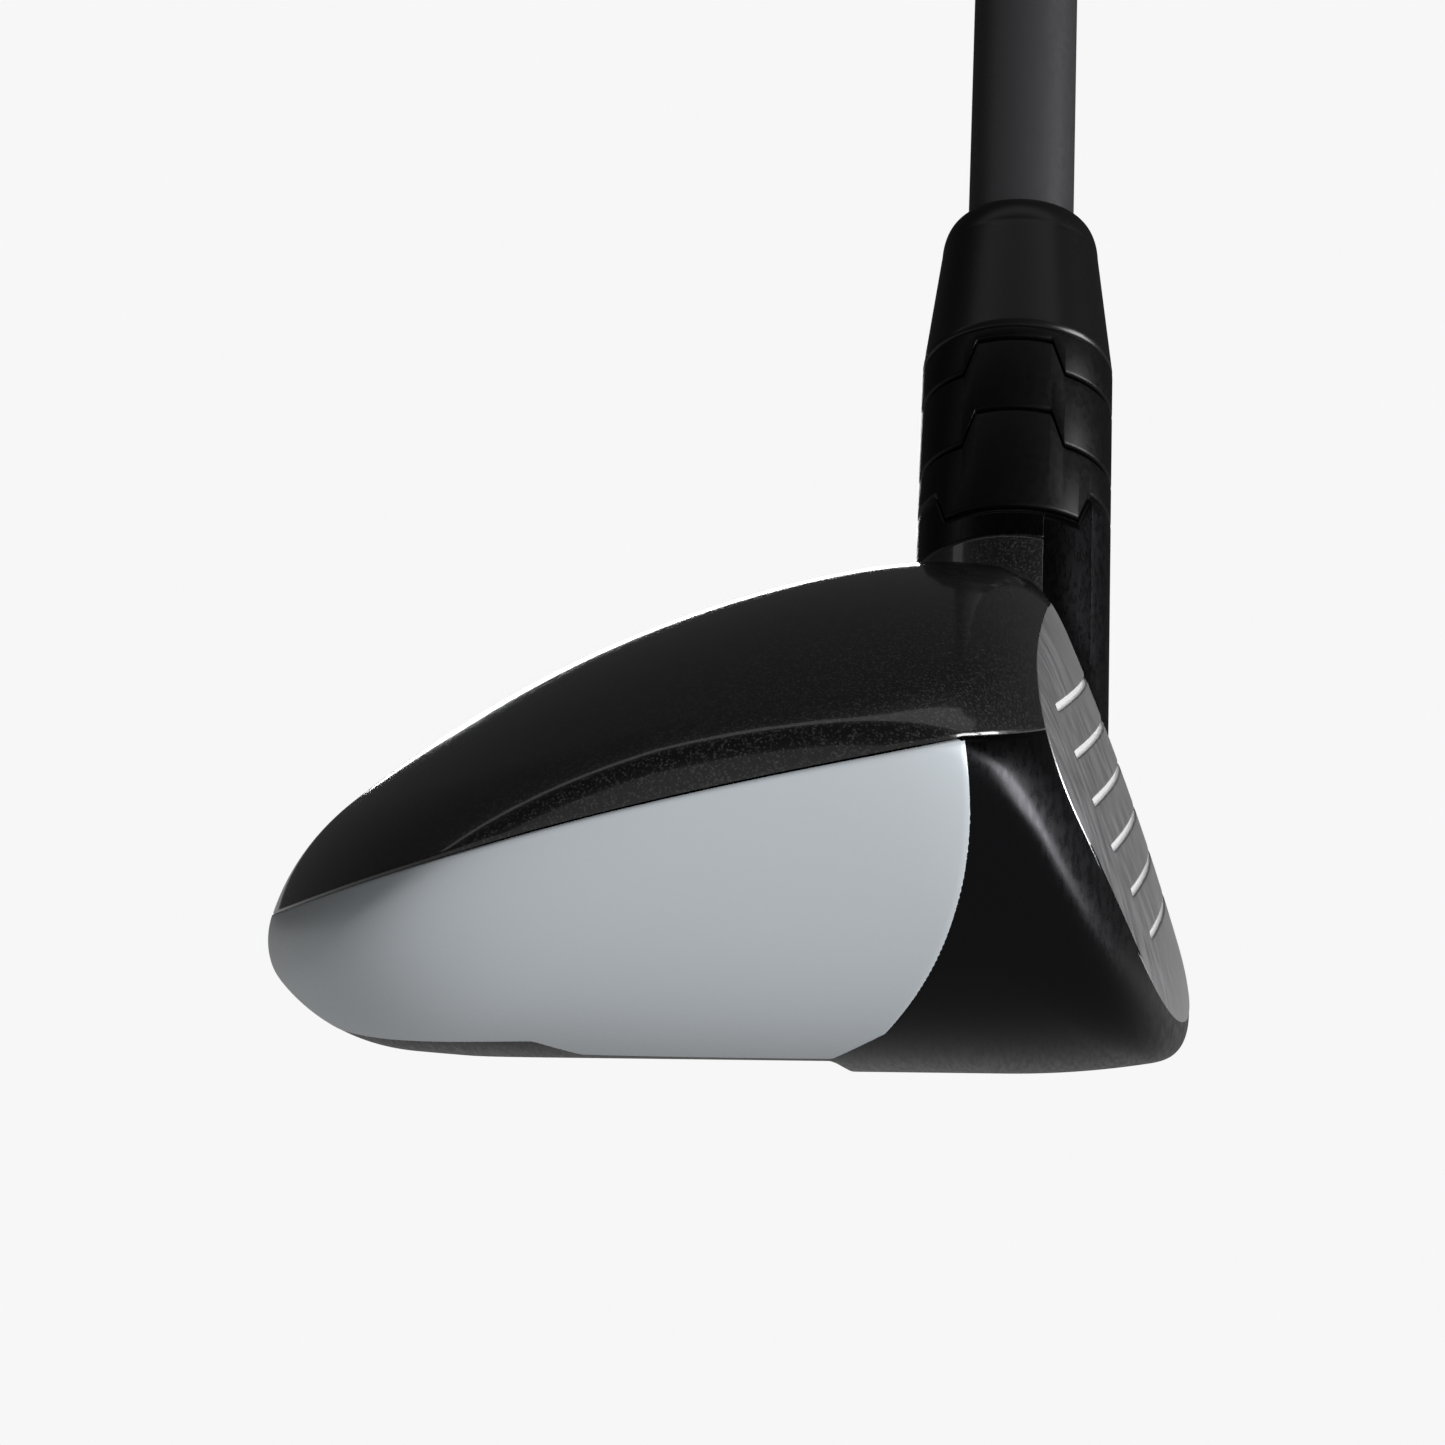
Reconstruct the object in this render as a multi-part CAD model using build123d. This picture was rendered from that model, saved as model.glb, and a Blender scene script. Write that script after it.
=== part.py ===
from build123d import *
import os
from math import sin, cos, tan, radians, hypot, exp, sqrt

# Adjustable hybrid golf club, right-handed, in millimetres.
# +Z is up, +X is the way the face looks, +Y runs from the toe to the heel and the golfer.
# The origin is the point where the shaft axis meets the ground with the sole flat.

# ---- driving dimensions -------------------------------------------------------------
LIE = 59.0                    # angle between the shaft axis and the ground
LOFT = 19.7                   # face angle at its centre
CLUB_LENGTH = 1020.0          # along the shaft axis, ground to the end of the grip cap
SHAFT_BUTT_R = 7.6
SHAFT_TIP_R = 4.65
HOSEL_R = 8.25
SLEEVE_R = 6.25
FIT_GAP = 0.05                # radial gap of the sliding fits

# head body
HEAD_Y = -35.5                # middle of the head, toe to heel
WIDEST_X = -9.0               # where the plan outline is widest
HALF_LENGTH = 47.5            # half of the head, toe to heel
BACK_DEPTH = 44.6             # from the widest line to the tail
FRONT_DEPTH = 26.5            # the same curve runs this far forward, past the face
PLAN_POWER = 2.25             # superellipse power of the plan outline
CREST_Z = 36.05
FACE_CENTRE = (10.45, -37.0, 18.9)
BULGE_R = 250.0
ROLL_R = 205.0
FACE_THICKNESS = 2.6
CROWN_WALL = 1.1
SKIRT_WALL = 1.3
SOLE_WALL = 2.8
SOLE_CAMBER_R = 180.0
SOLE_STEP = 0.9               # the rear of the sole sits this much higher than the front pad
SOLE_STEP_X = -9.0

# grooves in the face
GROOVE_LOWEST = -7.8          # height on the face, from its centre
GROOVE_PITCH = 3.4
GROOVE_WIDTH = 0.55
GROOVE_DEPTH = 0.35
GROOVE_HALF_ANGLES = (4.9, 5.5, 6.0, 6.2, 6.2, 6.2)   # about the bulge axis, lowest first

# places along the shaft axis, measured up from the ground
PORT_END = 7.0
PORT_R = 5.2
SCREW_HEAD_LOW = 13.4
SEAT_LOW = 18.0
SEAT_HIGH = 20.0
SLEEVE_END = 21.3
TIP_SEAT = 36.3
BOTTOM_SEAM = (41.45, 44.35)  # low and high level of each castellated joint
MIDDLE_SEAM = (48.15, 51.15)
TOP_SEAM = (55.25, 58.2)
COLLAR_TOP = 59.45
FERRULE_TOP = 74.3
SEAM_GAP = 0.25
GRIP_START = 752.0

# hosel screw, its washer and retainer, and the O-rings in the cogs
HOSEL_SCREW_R = 2.5
HOSEL_SCREW_HEAD_R = 4.5
HOSEL_SCREW_END = 33.0
WASHER_R = 4.8
WASHER_THICKNESS = 1.0
WASHER_GAP = 0.05             # between the screw head and the washer
WASHER_BORE_R = 2.6
RETAINER_BORE_R = 2.55
BODY_BORE_R = 2.9             # hole in the seat that the screw passes through
RING_PLACES = (46.2, 53.2)
RING_HALF = 0.5               # half height of an O-ring
RING_SECTION = 0.55

# rear weight
REAR_WEIGHT_AT = (-37.5, HEAD_Y)
REAR_WEIGHT_R = 6.0
REAR_WEIGHT_LOW = 0.9
REAR_WEIGHT_TOP = 7.3
REAR_WEIGHT_GAP = 0.1
BOSS_R = 7.6
BOSS_TOP = 13.5
WEIGHT_SCREW_R = 2.0
WEIGHT_SCREW_END = 11.0
WEIGHT_SCREW_HOLE_END = 12.0
WEIGHT_SCREW_HEAD_R = 3.4
WEIGHT_SCREW_HEAD = (1.1, 3.1)   # low and high end of the screw head
COUNTERBORE_R = 3.6

# sole insert, inner weight and brace bars
INSERT_X = -20.0
INSERT_SIZE = (19.0, 28.0)
SWING_MASS_AT = (-1.5, HEAD_Y - 2.0, 4.2)
SWING_MASS_SIZE = (13.0, 40.0, 4.6)
BRACE_PLACES = (-52.0, -24.0)
BRACE_R = 2.6

# outline of the side panel, in (x, z)
PANEL_FRONT = ((0.3, 26.5), (0.1, 15.5), (-5.4, 5.3))
PANEL_BOTTOM = ((-40.0, 3.6), (-58.0, 2.9))
PANEL_HEEL_X = -22.0          # the panel ends here on the heel side

SHAFT_DIR = Vector(0, cos(radians(LIE)), sin(radians(LIE)))


# ---- frames -------------------------------------------------------------------------
def on_axis(s):
    """Point of the shaft axis at distance s above the ground."""
    return SHAFT_DIR * s


def shaft_plane(s):
    """Plane square to the shaft; its local Y looks from the shaft towards the toe."""
    return Plane(origin=on_axis(s), x_dir=(1, 0, 0), z_dir=SHAFT_DIR)


def axis_cylinder(radius, start, end):
    return shaft_plane(start) * Cylinder(
        radius, end - start, align=(Align.CENTER, Align.CENTER, Align.MIN)
    )


def axis_turned(profile):
    """Revolve a closed list of (radius, height along the axis) about the shaft axis."""
    side = Plane(origin=(0, 0, 0), x_dir=(1, 0, 0), z_dir=Vector(1, 0, 0).cross(SHAFT_DIR))
    face = side * make_face(Polyline(*profile, close=True))
    return revolve(face, Axis((0, 0, 0), SHAFT_DIR), 360)


# ---- the shape of the head ----------------------------------------------------------
def blend_max(a, b, width):
    """Larger of a and b, rounded over a band of the given width."""
    overlap = max(width - abs(a - b), 0.0) / width
    return max(a, b) + overlap * overlap * width / 4


def tilt_share(x):
    """0 at the rear, 1 at the face: how far the cross-sections lean with the loft."""
    share = min(max((x + 25.0) / 33.0, 0.0), 1.0)
    return share * share * (3 - 2 * share)


def parting_height(x):
    """Height of the line where the crown meets the skirt."""
    back = max(-x, 0.0)
    return 25.9 - 0.19 * back - 0.0005 * back ** 2 - 0.00003 * back ** 3


def crest_height(x):
    run = x + 3.0
    front_drop = 0.02 * max(x + 1.0, 0.0) ** 2
    return CREST_Z - 0.0090 * run ** 2 - 0.7 * (1 - exp(-(run / 12.0) ** 2)) - front_drop


def half_width(x):
    depth = BACK_DEPTH if x < WIDEST_X else FRONT_DEPTH * 1.6
    u = min(abs(x - WIDEST_X) / depth, 0.97)
    return HALF_LENGTH * (1 - u ** PLAN_POWER) ** (1 / PLAN_POWER)


def above_crown(x, y, z):
    middle = HEAD_Y + 4.0 * min(max((x + 20.0) / 30.0, 0.0), 1.0)
    across = min(abs(y - middle) / half_width(x), 1.6)
    rise = max(crest_height(x) - parting_height(x), 0.5)
    return (z - crest_height(x) + rise * 0.88 * across ** 2.5) * 0.9


def outside_skirt(x, y, z):
    lean = tan(radians(LOFT)) * tilt_share(x) * (z - FACE_CENTRE[2])
    x_square = x + lean
    depth = BACK_DEPTH if x_square < WIDEST_X else FRONT_DEPTH
    u = (x_square - WIDEST_X) / depth
    v = (y - HEAD_Y) / HALF_LENGTH
    ratio = (abs(u) ** PLAN_POWER + abs(v) ** PLAN_POWER) ** (1 / PLAN_POWER)
    reach = hypot(x_square - WIDEST_X, y - HEAD_Y) / max(ratio, 1e-6)
    below = max(parting_height(x) - z, 0.0)
    tuck_tail = 0.55 * (sqrt(below ** 2 + 4) - 2)
    tuck_side = 0.32 * (sqrt(below ** 2 + 25) - 5)
    share = u * u / (u * u + v * v + 1e-9) if x_square < WIDEST_X else 0.0
    return (ratio - 1) * reach + tuck_tail * share + tuck_side * (1 - share)


def below_sole(x, y, z):
    across = y - HEAD_Y
    back_rise = 1.3 * (max(-12.0 - x, 0.0) / 30.0) ** 2
    front_rise = max(x - 2.0, 0.0) ** 2 / 120.0
    ends_rise = (8.0 if across < 0 else 2.5) * (across / 38.0) ** 6
    return across ** 2 / (2 * SOLE_CAMBER_R) + back_rise + front_rise + ends_rise - z


def outside_head(x, y, z, crown_wall=0.0, skirt_wall=0.0, sole_wall=0.0):
    """Signed distance-like field of the head, its walls moved inwards by the given amounts."""
    sides = blend_max(
        above_crown(x, y, z) + crown_wall, outside_skirt(x, y, z) + skirt_wall, 7.0
    )
    return blend_max(sides, below_sole(x, y, z) + sole_wall, 5.0)


def head_section(x, walls, count=24):
    """Closed smooth outline of the head in one cross-section, and the plane it lies in."""
    lean = tan(radians(LOFT)) * tilt_share(x)
    middle_z = 8.5 + 6.5 * min(max((x + 53.0) / 30.0, 0.0), 1.0)
    points = []
    for i in range(count):
        angle = radians(360.0 * i / count)
        low, high = 0.0, 70.0
        for _ in range(34):
            radius = (low + high) / 2
            y = HEAD_Y - 0.5 + radius * cos(angle)
            z = middle_z + radius * sin(angle)
            at_x = x - lean * (z - FACE_CENTRE[2])
            if outside_head(at_x, y, z, *walls) < 0:
                low = radius
            else:
                high = radius
        points.append((at_x, y, z))
    return Wire(Edge.make_spline([Vector(p) for p in points], periodic=True))


def stations(tail, front, count):
    """Places of the cross-sections, closer together where the tail rounds off."""
    return [
        tail + (front - tail) * (1 - cos(radians(90.0 * i / (count - 1)))) for i in range(count)
    ]


FRONT_STATIONS = [8.6, 9.8, 11.0, 12.2]   # close together, where the edge of the face rounds


def head_loft(places, walls=(0.0, 0.0, 0.0)):
    sections = [head_section(x, walls) for x in places]
    return Part() + Solid.make_loft(sections, ruled=True)


# ---- the face -----------------------------------------------------------------------
FACE_NORMAL = Vector(cos(radians(LOFT)), 0, sin(radians(LOFT)))
FACE_UP = Vector(-sin(radians(LOFT)), 0, cos(radians(LOFT)))
BULGE_CENTRE = Vector(*FACE_CENTRE) - FACE_NORMAL * BULGE_R


def swept_about_bulge(profile, half_angle):
    """Revolve a flat face, drawn in (outward, up) about the bulge centre, left and right."""
    plane = Plane(origin=BULGE_CENTRE, x_dir=FACE_NORMAL, z_dir=(0, -1, 0))
    axis = Axis(BULGE_CENTRE, FACE_UP)
    swept = revolve(plane * profile, axis, 2 * half_angle)
    return swept.rotate(axis, -half_angle)


def behind_face(depth):
    """Everything behind the bulged and rolled face, moved back by depth."""
    reach = BULGE_R - depth
    half = 34.0
    sag = half ** 2 / (2 * ROLL_R)
    front = ThreePointArc((reach - sag, -half), (reach, 0), (reach - sag, half))
    rest = Polyline(
        (reach - sag, half), (reach - 90, half), (reach - 90, -half), (reach - sag, -half)
    )
    return swept_about_bulge(make_face(front + rest), 16)


def face_grooves():
    cutters = []
    for i, half_angle in enumerate(GROOVE_HALF_ANGLES):
        up = GROOVE_LOWEST + i * GROOVE_PITCH
        sag = up ** 2 / (2 * ROLL_R)
        outline = Pos(BULGE_R - sag, up) * Rectangle(2 * GROOVE_DEPTH, GROOVE_WIDTH)
        cutters.append(swept_about_bulge(outline, half_angle))
    return cutters


# ---- regions that divide the head shell ---------------------------------------------
def side_extrusion(face):
    """Extrude a face drawn in (x, z) right through the head along Y."""
    return Plane(origin=(0, 60, 0), x_dir=(1, 0, 0), z_dir=(0, -1, 0)) * extrude(face, 170)


def parting_line(start, end, count=12):
    xs = [start + (end - start) * i / (count - 1) for i in range(count)]
    return Spline(*[(x, parting_height(x)) for x in xs])


def crown_region():
    """Everything above the parting line."""
    line = parting_line(-58, 22)
    roof = Polyline((22, parting_height(22)), (22, 60), (-58, 60), (-58, parting_height(-58)))
    return side_extrusion(make_face(line + roof))


def panel_region():
    """Toe side from the front edge of the panel, right round the tail to the rear heel."""
    front = ThreePointArc(*PANEL_FRONT)
    top = PANEL_FRONT[0][1]
    rest = Polyline(PANEL_FRONT[2], *PANEL_BOTTOM, (PANEL_BOTTOM[1][0], top), PANEL_FRONT[0])
    heel_front = Pos(PANEL_HEEL_X, HEAD_Y, 0) * Box(
        56, 140, 90, align=(Align.MIN, Align.MIN, Align.CENTER)
    )
    return side_extrusion(make_face(front + rest)) - heel_front - crown_region()


# ---- castellated joints of the hosel ------------------------------------------------
TOOTH_TOP = 3.2               # half widths of the tooth on the collar and the upper cog
TOOTH_FOOT = 4.3
SOCKET_FOOT = 5.6             # half widths of the recess in the top of the hosel tube
SOCKET_TOP = 6.5


def tooth_edge(levels, shift):
    """Joint line that is high in the middle, as seen from the toe."""
    low, high = levels[0] + shift, levels[1] + shift
    return [(-12, low), (-TOOTH_FOOT, low), (-TOOTH_TOP, high),
            (TOOTH_TOP, high), (TOOTH_FOOT, low), (12, low)]


def socket_edge(levels, shift):
    """Joint line that is low in the middle, as seen from the toe."""
    low, high = levels[0] + shift, levels[1] + shift
    return [(-12, high), (-SOCKET_TOP, high), (-SOCKET_FOOT, low),
            (SOCKET_FOOT, low), (SOCKET_TOP, high), (12, high)]


def between_joints(lower, upper):
    """Prism between two joint lines, right through the hosel from toe to heel."""
    outline = Polyline(*lower, *reversed(upper), close=True)
    toe_side = Vector(1, 0, 0).cross(SHAFT_DIR)
    plane = Plane(origin=(0, 0, 0), x_dir=(1, 0, 0), z_dir=toe_side)
    return extrude(plane * make_face(outline), 12, both=True)


def ring_between(lower, upper, outer, inner):
    tube = axis_cylinder(outer, 0, 90) - axis_cylinder(inner, 0, 90)
    return tube & between_joints(lower, upper)


# ---- head parts ---------------------------------------------------------------------
def upright(radius, low, high, at=REAR_WEIGHT_AT):
    return Pos(*at, low) * Cylinder(
        radius, high - low, align=(Align.CENTER, Align.CENTER, Align.MIN)
    )


def six_lobe_socket(radius, depth):
    """Star recess of a Torx-pattern screw, cut downwards from the local origin."""
    lobes = [
        Pos(0.72 * radius * cos(radians(60 * i)), 0.72 * radius * sin(radians(60 * i)))
        * Circle(0.28 * radius)
        for i in range(6)
    ]
    outline = Circle(0.76 * radius)
    for lobe in lobes:
        outline += lobe
    return extrude(outline, depth)


def rear_sole_cut():
    """Takes the step off the sole behind the front pad, following its camber."""
    block = Pos(SOLE_STEP_X, HEAD_Y, 0) * Box(
        60, 90, 12, align=(Align.MAX, Align.CENTER, Align.CENTER)
    )
    drum = Cylinder(SOLE_CAMBER_R, 140, rotation=(0, 90, 0))
    return block - Pos(-30, HEAD_Y, SOLE_CAMBER_R + SOLE_STEP) * drum


def build_head():
    """All fixed pieces of the head, cut from one outer form and one hollow."""
    back = behind_face(FACE_THICKNESS)
    whole = head_loft(stations(-52.7, 7.0, 16) + FRONT_STATIONS) - rear_sole_cut()
    hollow = head_loft(stations(-51.1, 11.0, 11), (CROWN_WALL, SKIRT_WALL, SOLE_WALL))
    shell = (whole - hollow) & back

    face_plate = (whole - back) & behind_face(0)
    face_plate -= axis_cylinder(HOSEL_R, 0, 30)
    for groove in face_grooves():
        face_plate -= groove

    crown_tool = crown_region() - axis_cylinder(HOSEL_R + 2.2, 0, 60)
    boss = upright(BOSS_R, -1, BOSS_TOP)
    panel_tool = panel_region() - boss
    insert_tool = Pos(INSERT_X, HEAD_Y, 0) * Box(*INSERT_SIZE, 8)

    tube = axis_cylinder(HOSEL_R, PORT_END, BOTTOM_SEAM[1] + 1)
    tube &= between_joints([(-12, 0), (12, 0)], socket_edge(BOTTOM_SEAM, -SEAM_GAP / 2))
    open_inside = hollow - boss - axis_cylinder(HOSEL_R - 0.6, 0, 45)
    body = whole - crown_tool - panel_tool - insert_tool
    body = ((body + tube) - open_inside) & back
    body -= axis_cylinder(PORT_R, 0, SCREW_HEAD_LOW)
    body -= axis_cylinder(PORT_R - 0.25, SCREW_HEAD_LOW - 1, SEAT_LOW)
    body -= axis_cylinder(BODY_BORE_R, SEAT_LOW - 1, SEAT_HIGH + 1)
    body -= axis_cylinder(SLEEVE_R + FIT_GAP, SEAT_HIGH, 60)
    body -= upright(REAR_WEIGHT_R + REAR_WEIGHT_GAP, -1, REAR_WEIGHT_TOP + REAR_WEIGHT_GAP)
    body -= upright(WEIGHT_SCREW_R + FIT_GAP, -1, WEIGHT_SCREW_HOLE_END)

    weight_block = Pos(*SWING_MASS_AT) * Box(*SWING_MASS_SIZE)
    inside = hollow & back
    swing_mass = weight_block & inside
    bars = []
    for y in BRACE_PLACES:
        foot = Vector(0.5, y, 0) - FACE_UP * 5
        bar = Plane(origin=foot, z_dir=FACE_UP) * Cylinder(
            BRACE_R, 50, align=(Align.CENTER, Align.CENTER, Align.MIN)
        )
        bars.append((bar & inside) - weight_block)
    return {
        "main_body": body, "face_plate": face_plate, "crown_shell": shell & crown_tool,
        "skirt_panel": shell & panel_tool, "sole_insert": shell & insert_tool,
        "tungsten_block": swing_mass, "brace_bars": Compound(children=bars),
    }


def build_rear_weight():
    weight = upright(REAR_WEIGHT_R, REAR_WEIGHT_LOW, REAR_WEIGHT_TOP)
    weight -= upright(WEIGHT_SCREW_R + FIT_GAP, 0, 10)
    head_low, head_high = WEIGHT_SCREW_HEAD
    weight -= upright(COUNTERBORE_R, 0, head_high)
    screw = upright(WEIGHT_SCREW_R, head_high, WEIGHT_SCREW_END)
    screw += upright(WEIGHT_SCREW_HEAD_R, head_low, head_high)
    screw -= Pos(*REAR_WEIGHT_AT, head_low) * six_lobe_socket(2.4, 1.6)
    return {"rear_weight": weight, "rear_weight_screw": screw}


# ---- hosel parts --------------------------------------------------------------------
def build_hosel():
    washer_low = SEAT_LOW - WASHER_THICKNESS
    screw = axis_cylinder(HOSEL_SCREW_R, SEAT_LOW - 2, HOSEL_SCREW_END)
    screw += axis_cylinder(HOSEL_SCREW_HEAD_R, SCREW_HEAD_LOW, washer_low - WASHER_GAP)
    screw -= shaft_plane(SCREW_HEAD_LOW) * six_lobe_socket(2.9, 2.4)
    washer = axis_cylinder(WASHER_R, washer_low, SEAT_LOW)
    washer -= axis_cylinder(WASHER_BORE_R, 0, 30)
    retainer = axis_cylinder(WASHER_R, SEAT_HIGH, SEAT_HIGH + WASHER_THICKNESS)
    retainer -= axis_cylinder(RETAINER_BORE_R, 0, 30)

    sleeve = axis_cylinder(SLEEVE_R, SLEEVE_END, COLLAR_TOP)
    collar = axis_cylinder(HOSEL_R, TOP_SEAM[0] - 1, COLLAR_TOP)
    collar_low = tooth_edge(TOP_SEAM, SEAM_GAP / 2)
    sleeve += collar & between_joints(collar_low, [(-12, 62), (12, 62)])
    sleeve -= axis_cylinder(HOSEL_SCREW_R + FIT_GAP, 0, TIP_SEAT)
    sleeve -= axis_cylinder(SHAFT_TIP_R, TIP_SEAT, 80)

    lower_cog = ring_between(
        socket_edge(BOTTOM_SEAM, SEAM_GAP / 2), tooth_edge(MIDDLE_SEAM, -SEAM_GAP / 2),
        HOSEL_R, SLEEVE_R + FIT_GAP,
    )
    upper_cog = ring_between(
        tooth_edge(MIDDLE_SEAM, SEAM_GAP / 2), tooth_edge(TOP_SEAM, -SEAM_GAP / 2),
        HOSEL_R, SLEEVE_R + FIT_GAP,
    )
    rings, seats = [], []
    for middle in RING_PLACES:
        ring = axis_cylinder(SLEEVE_R + RING_SECTION, middle - RING_HALF, middle + RING_HALF)
        rings.append(ring - axis_cylinder(SLEEVE_R + FIT_GAP, 0, 90))
        half = RING_HALF + FIT_GAP
        seat_r = SLEEVE_R + RING_SECTION + FIT_GAP
        seats.append(axis_cylinder(seat_r, middle - half, middle + half))
    lower_cog -= seats[0]
    upper_cog -= seats[1]

    ferrule = axis_turned([
        (SHAFT_TIP_R + 0.02, COLLAR_TOP), (HOSEL_R, COLLAR_TOP), (6.85, FERRULE_TOP - 3.0),
        (6.45, FERRULE_TOP - 1.4), (5.6, FERRULE_TOP - 0.3), (SHAFT_TIP_R + 0.02, FERRULE_TOP),
    ])
    return {
        "hosel_screw": screw, "screw_washer": washer, "screw_retainer": retainer,
        "shaft_sleeve": sleeve, "lower_cog": lower_cog, "upper_cog": upper_cog,
        "lower_cog_ring": rings[0], "upper_cog_ring": rings[1], "ferrule": ferrule,
    }


# ---- shaft and grip -----------------------------------------------------------------
TIP_PARALLEL = 120.0
SHAFT_END = 1014.0
TAPE = 0.15
GRIP_LOW_WALL = 2.3
GRIP_HIGH_WALL = 5.3
VENT_R = 1.5


def shaft_radius(s):
    share = max(s - TIP_PARALLEL, 0.0) / (SHAFT_END - TIP_PARALLEL)
    return SHAFT_TIP_R + (SHAFT_BUTT_R - SHAFT_TIP_R) * share


def build_shaft():
    tip = TIP_SEAT + 0.02
    shaft = axis_turned([
        (2.9, tip), (SHAFT_TIP_R, tip), (SHAFT_TIP_R, TIP_PARALLEL),
        (SHAFT_BUTT_R, SHAFT_END), (SHAFT_BUTT_R - 0.9, SHAFT_END),
        (3.3, TIP_PARALLEL), (2.9, 60),
    ])
    plug = axis_cylinder(2.88, tip, tip + 14)
    low, high = shaft_radius(GRIP_START), SHAFT_BUTT_R
    tape = axis_turned([
        (low, GRIP_START), (low + TAPE, GRIP_START), (high + TAPE, SHAFT_END), (high, SHAFT_END),
    ])
    flare = GRIP_START + 3.0
    grip = axis_turned([
        (low + TAPE, GRIP_START), (low + GRIP_LOW_WALL - 0.5, GRIP_START),
        (low + GRIP_LOW_WALL, flare), (high + GRIP_HIGH_WALL, SHAFT_END),
        (high + TAPE, SHAFT_END),
    ])
    cap = axis_turned([
        (VENT_R, SHAFT_END), (high + GRIP_HIGH_WALL, SHAFT_END),
        (high + GRIP_HIGH_WALL + 1.4, SHAFT_END + 1.5),
        (high + GRIP_HIGH_WALL + 1.4, CLUB_LENGTH - 2.0),
        (high + GRIP_HIGH_WALL - 1.6, CLUB_LENGTH - 0.3), (VENT_R, CLUB_LENGTH),
    ])
    return {"shaft": shaft, "tip_plug": plug, "grip_tape": tape, "grip": grip, "grip_cap": cap}


# ---- write every part ---------------------------------------------------------------
os.makedirs("parts", exist_ok=True)
for group in (build_head(), build_rear_weight(), build_hosel(), build_shaft()):
    for name, solid in group.items():
        export_step(solid, f"parts/{name}.step")
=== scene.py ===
import math
import bmesh
import bpy
import numpy as np
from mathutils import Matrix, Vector


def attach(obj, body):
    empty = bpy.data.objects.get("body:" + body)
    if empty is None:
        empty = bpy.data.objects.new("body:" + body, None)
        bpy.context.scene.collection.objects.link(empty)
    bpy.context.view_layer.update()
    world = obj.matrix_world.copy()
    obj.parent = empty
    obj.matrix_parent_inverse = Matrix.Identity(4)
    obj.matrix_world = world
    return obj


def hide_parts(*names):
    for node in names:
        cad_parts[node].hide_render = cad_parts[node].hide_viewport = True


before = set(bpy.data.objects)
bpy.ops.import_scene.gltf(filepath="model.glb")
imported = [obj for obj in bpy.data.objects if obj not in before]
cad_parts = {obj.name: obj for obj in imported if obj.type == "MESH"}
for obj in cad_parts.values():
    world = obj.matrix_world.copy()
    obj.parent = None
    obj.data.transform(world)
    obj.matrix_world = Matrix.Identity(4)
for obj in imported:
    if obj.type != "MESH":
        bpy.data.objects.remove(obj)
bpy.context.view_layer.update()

# Adjustable hybrid golf club. Shapes are worked out in millimetres and made in metres.
# +X is the way the face looks, +Y runs from the toe to the heel, +Z is up, and the
# origin is where the shaft axis meets the ground.

MM = 0.001

# ---- the same driving sizes as the CAD model ------------------------------------------
LIE = math.radians(59.0)
LOFT = math.radians(19.7)
SHAFT_DIR = np.array([0.0, math.cos(LIE), math.sin(LIE)])
HOSEL_R = 8.25
HEAD_Y = -35.5
WIDEST_X = -9.0
HALF_LENGTH = 47.5
BACK_DEPTH = 43.85            # a little short of the CAD, whose tail is cut flat
FRONT_DEPTH = 26.5
PLAN_POWER = 2.25
CREST_Z = 36.05
FACE_CENTRE = np.array([10.45, -37.0, 18.9])
BULGE_R = 250.0
ROLL_R = 205.0
SOLE_CAMBER_R = 180.0
SOLE_STEP = 0.9
SOLE_STEP_X = -9.0
GROOVE_PITCH = 3.4
GROOVE_LOWEST = -7.8
GROOVE_WIDTH = 0.55
GROOVE_DEPTH = 0.35
GROOVE_HALVES = (21.5, 24.0, 26.0, 27.0, 27.0, 27.0)   # middle of the face to a groove's end
PANEL_TOP_FRONT = (0.3, 26.5)
PANEL_MIDDLE_FRONT = (0.1, 15.5)
PANEL_LOW_FRONT = (-5.4, 5.3)
PANEL_HEEL_X = -22.0
PANEL_BOTTOM_X = (-58.0, -40.0, -29.5, -26.5, -9.5, -5.4)   # the lacquer wraps under the toe
PANEL_BOTTOM_Z = (2.9, 3.6, 4.1, 2.9, 2.9, 5.3)
BOTTOM_SEAM = (41.45, 44.35)
MIDDLE_SEAM = (48.15, 51.15)
TOP_SEAM = (55.25, 58.2)
COLLAR_TOP = 59.45
FERRULE_TOP = 74.3
SEAM_GAP = 0.25
PORT_END = 7.0
PORT_R = 5.2


# ---- the form of the head --------------------------------------------------------------
def blend_max(a, b, width):
    """The larger of a and b, rounded off where they are within width of each other."""
    overlap = np.maximum(width - np.abs(a - b), 0.0) / width
    return np.maximum(a, b) + overlap * overlap * width / 4


def blend_min(a, b, width):
    """The smaller of a and b, rounded off in the same way."""
    return -blend_max(-a, -b, width)


def quarter_turn(steps):
    """Angles from zero to a right angle."""
    return [math.pi / 2 * i / steps for i in range(steps + 1)]


def smooth_share(value, start, end):
    """0 at start and before, 1 at end and after, with a smooth change between."""
    share = np.clip((value - start) / (end - start), 0.0, 1.0)
    return share * share * (3 - 2 * share)


def tilt_share(x):
    """How much a slice across the head leans with the face."""
    return smooth_share(x, -25.0, 8.0)


def parting_height(x):
    """Height of the line between crown and skirt."""
    back = np.maximum(-x, 0.0)
    return 25.9 - 0.19 * back - 0.0005 * back ** 2 - 0.00003 * back ** 3


def crest_height(x):
    """Height of the crown's ridge."""
    run = x + 3.0
    front_drop = 0.02 * np.maximum(x + 1.0, 0.0) ** 2
    return CREST_Z - 0.0090 * run ** 2 - 0.7 * (1 - np.exp(-(run / 12.0) ** 2)) - front_drop


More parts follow.
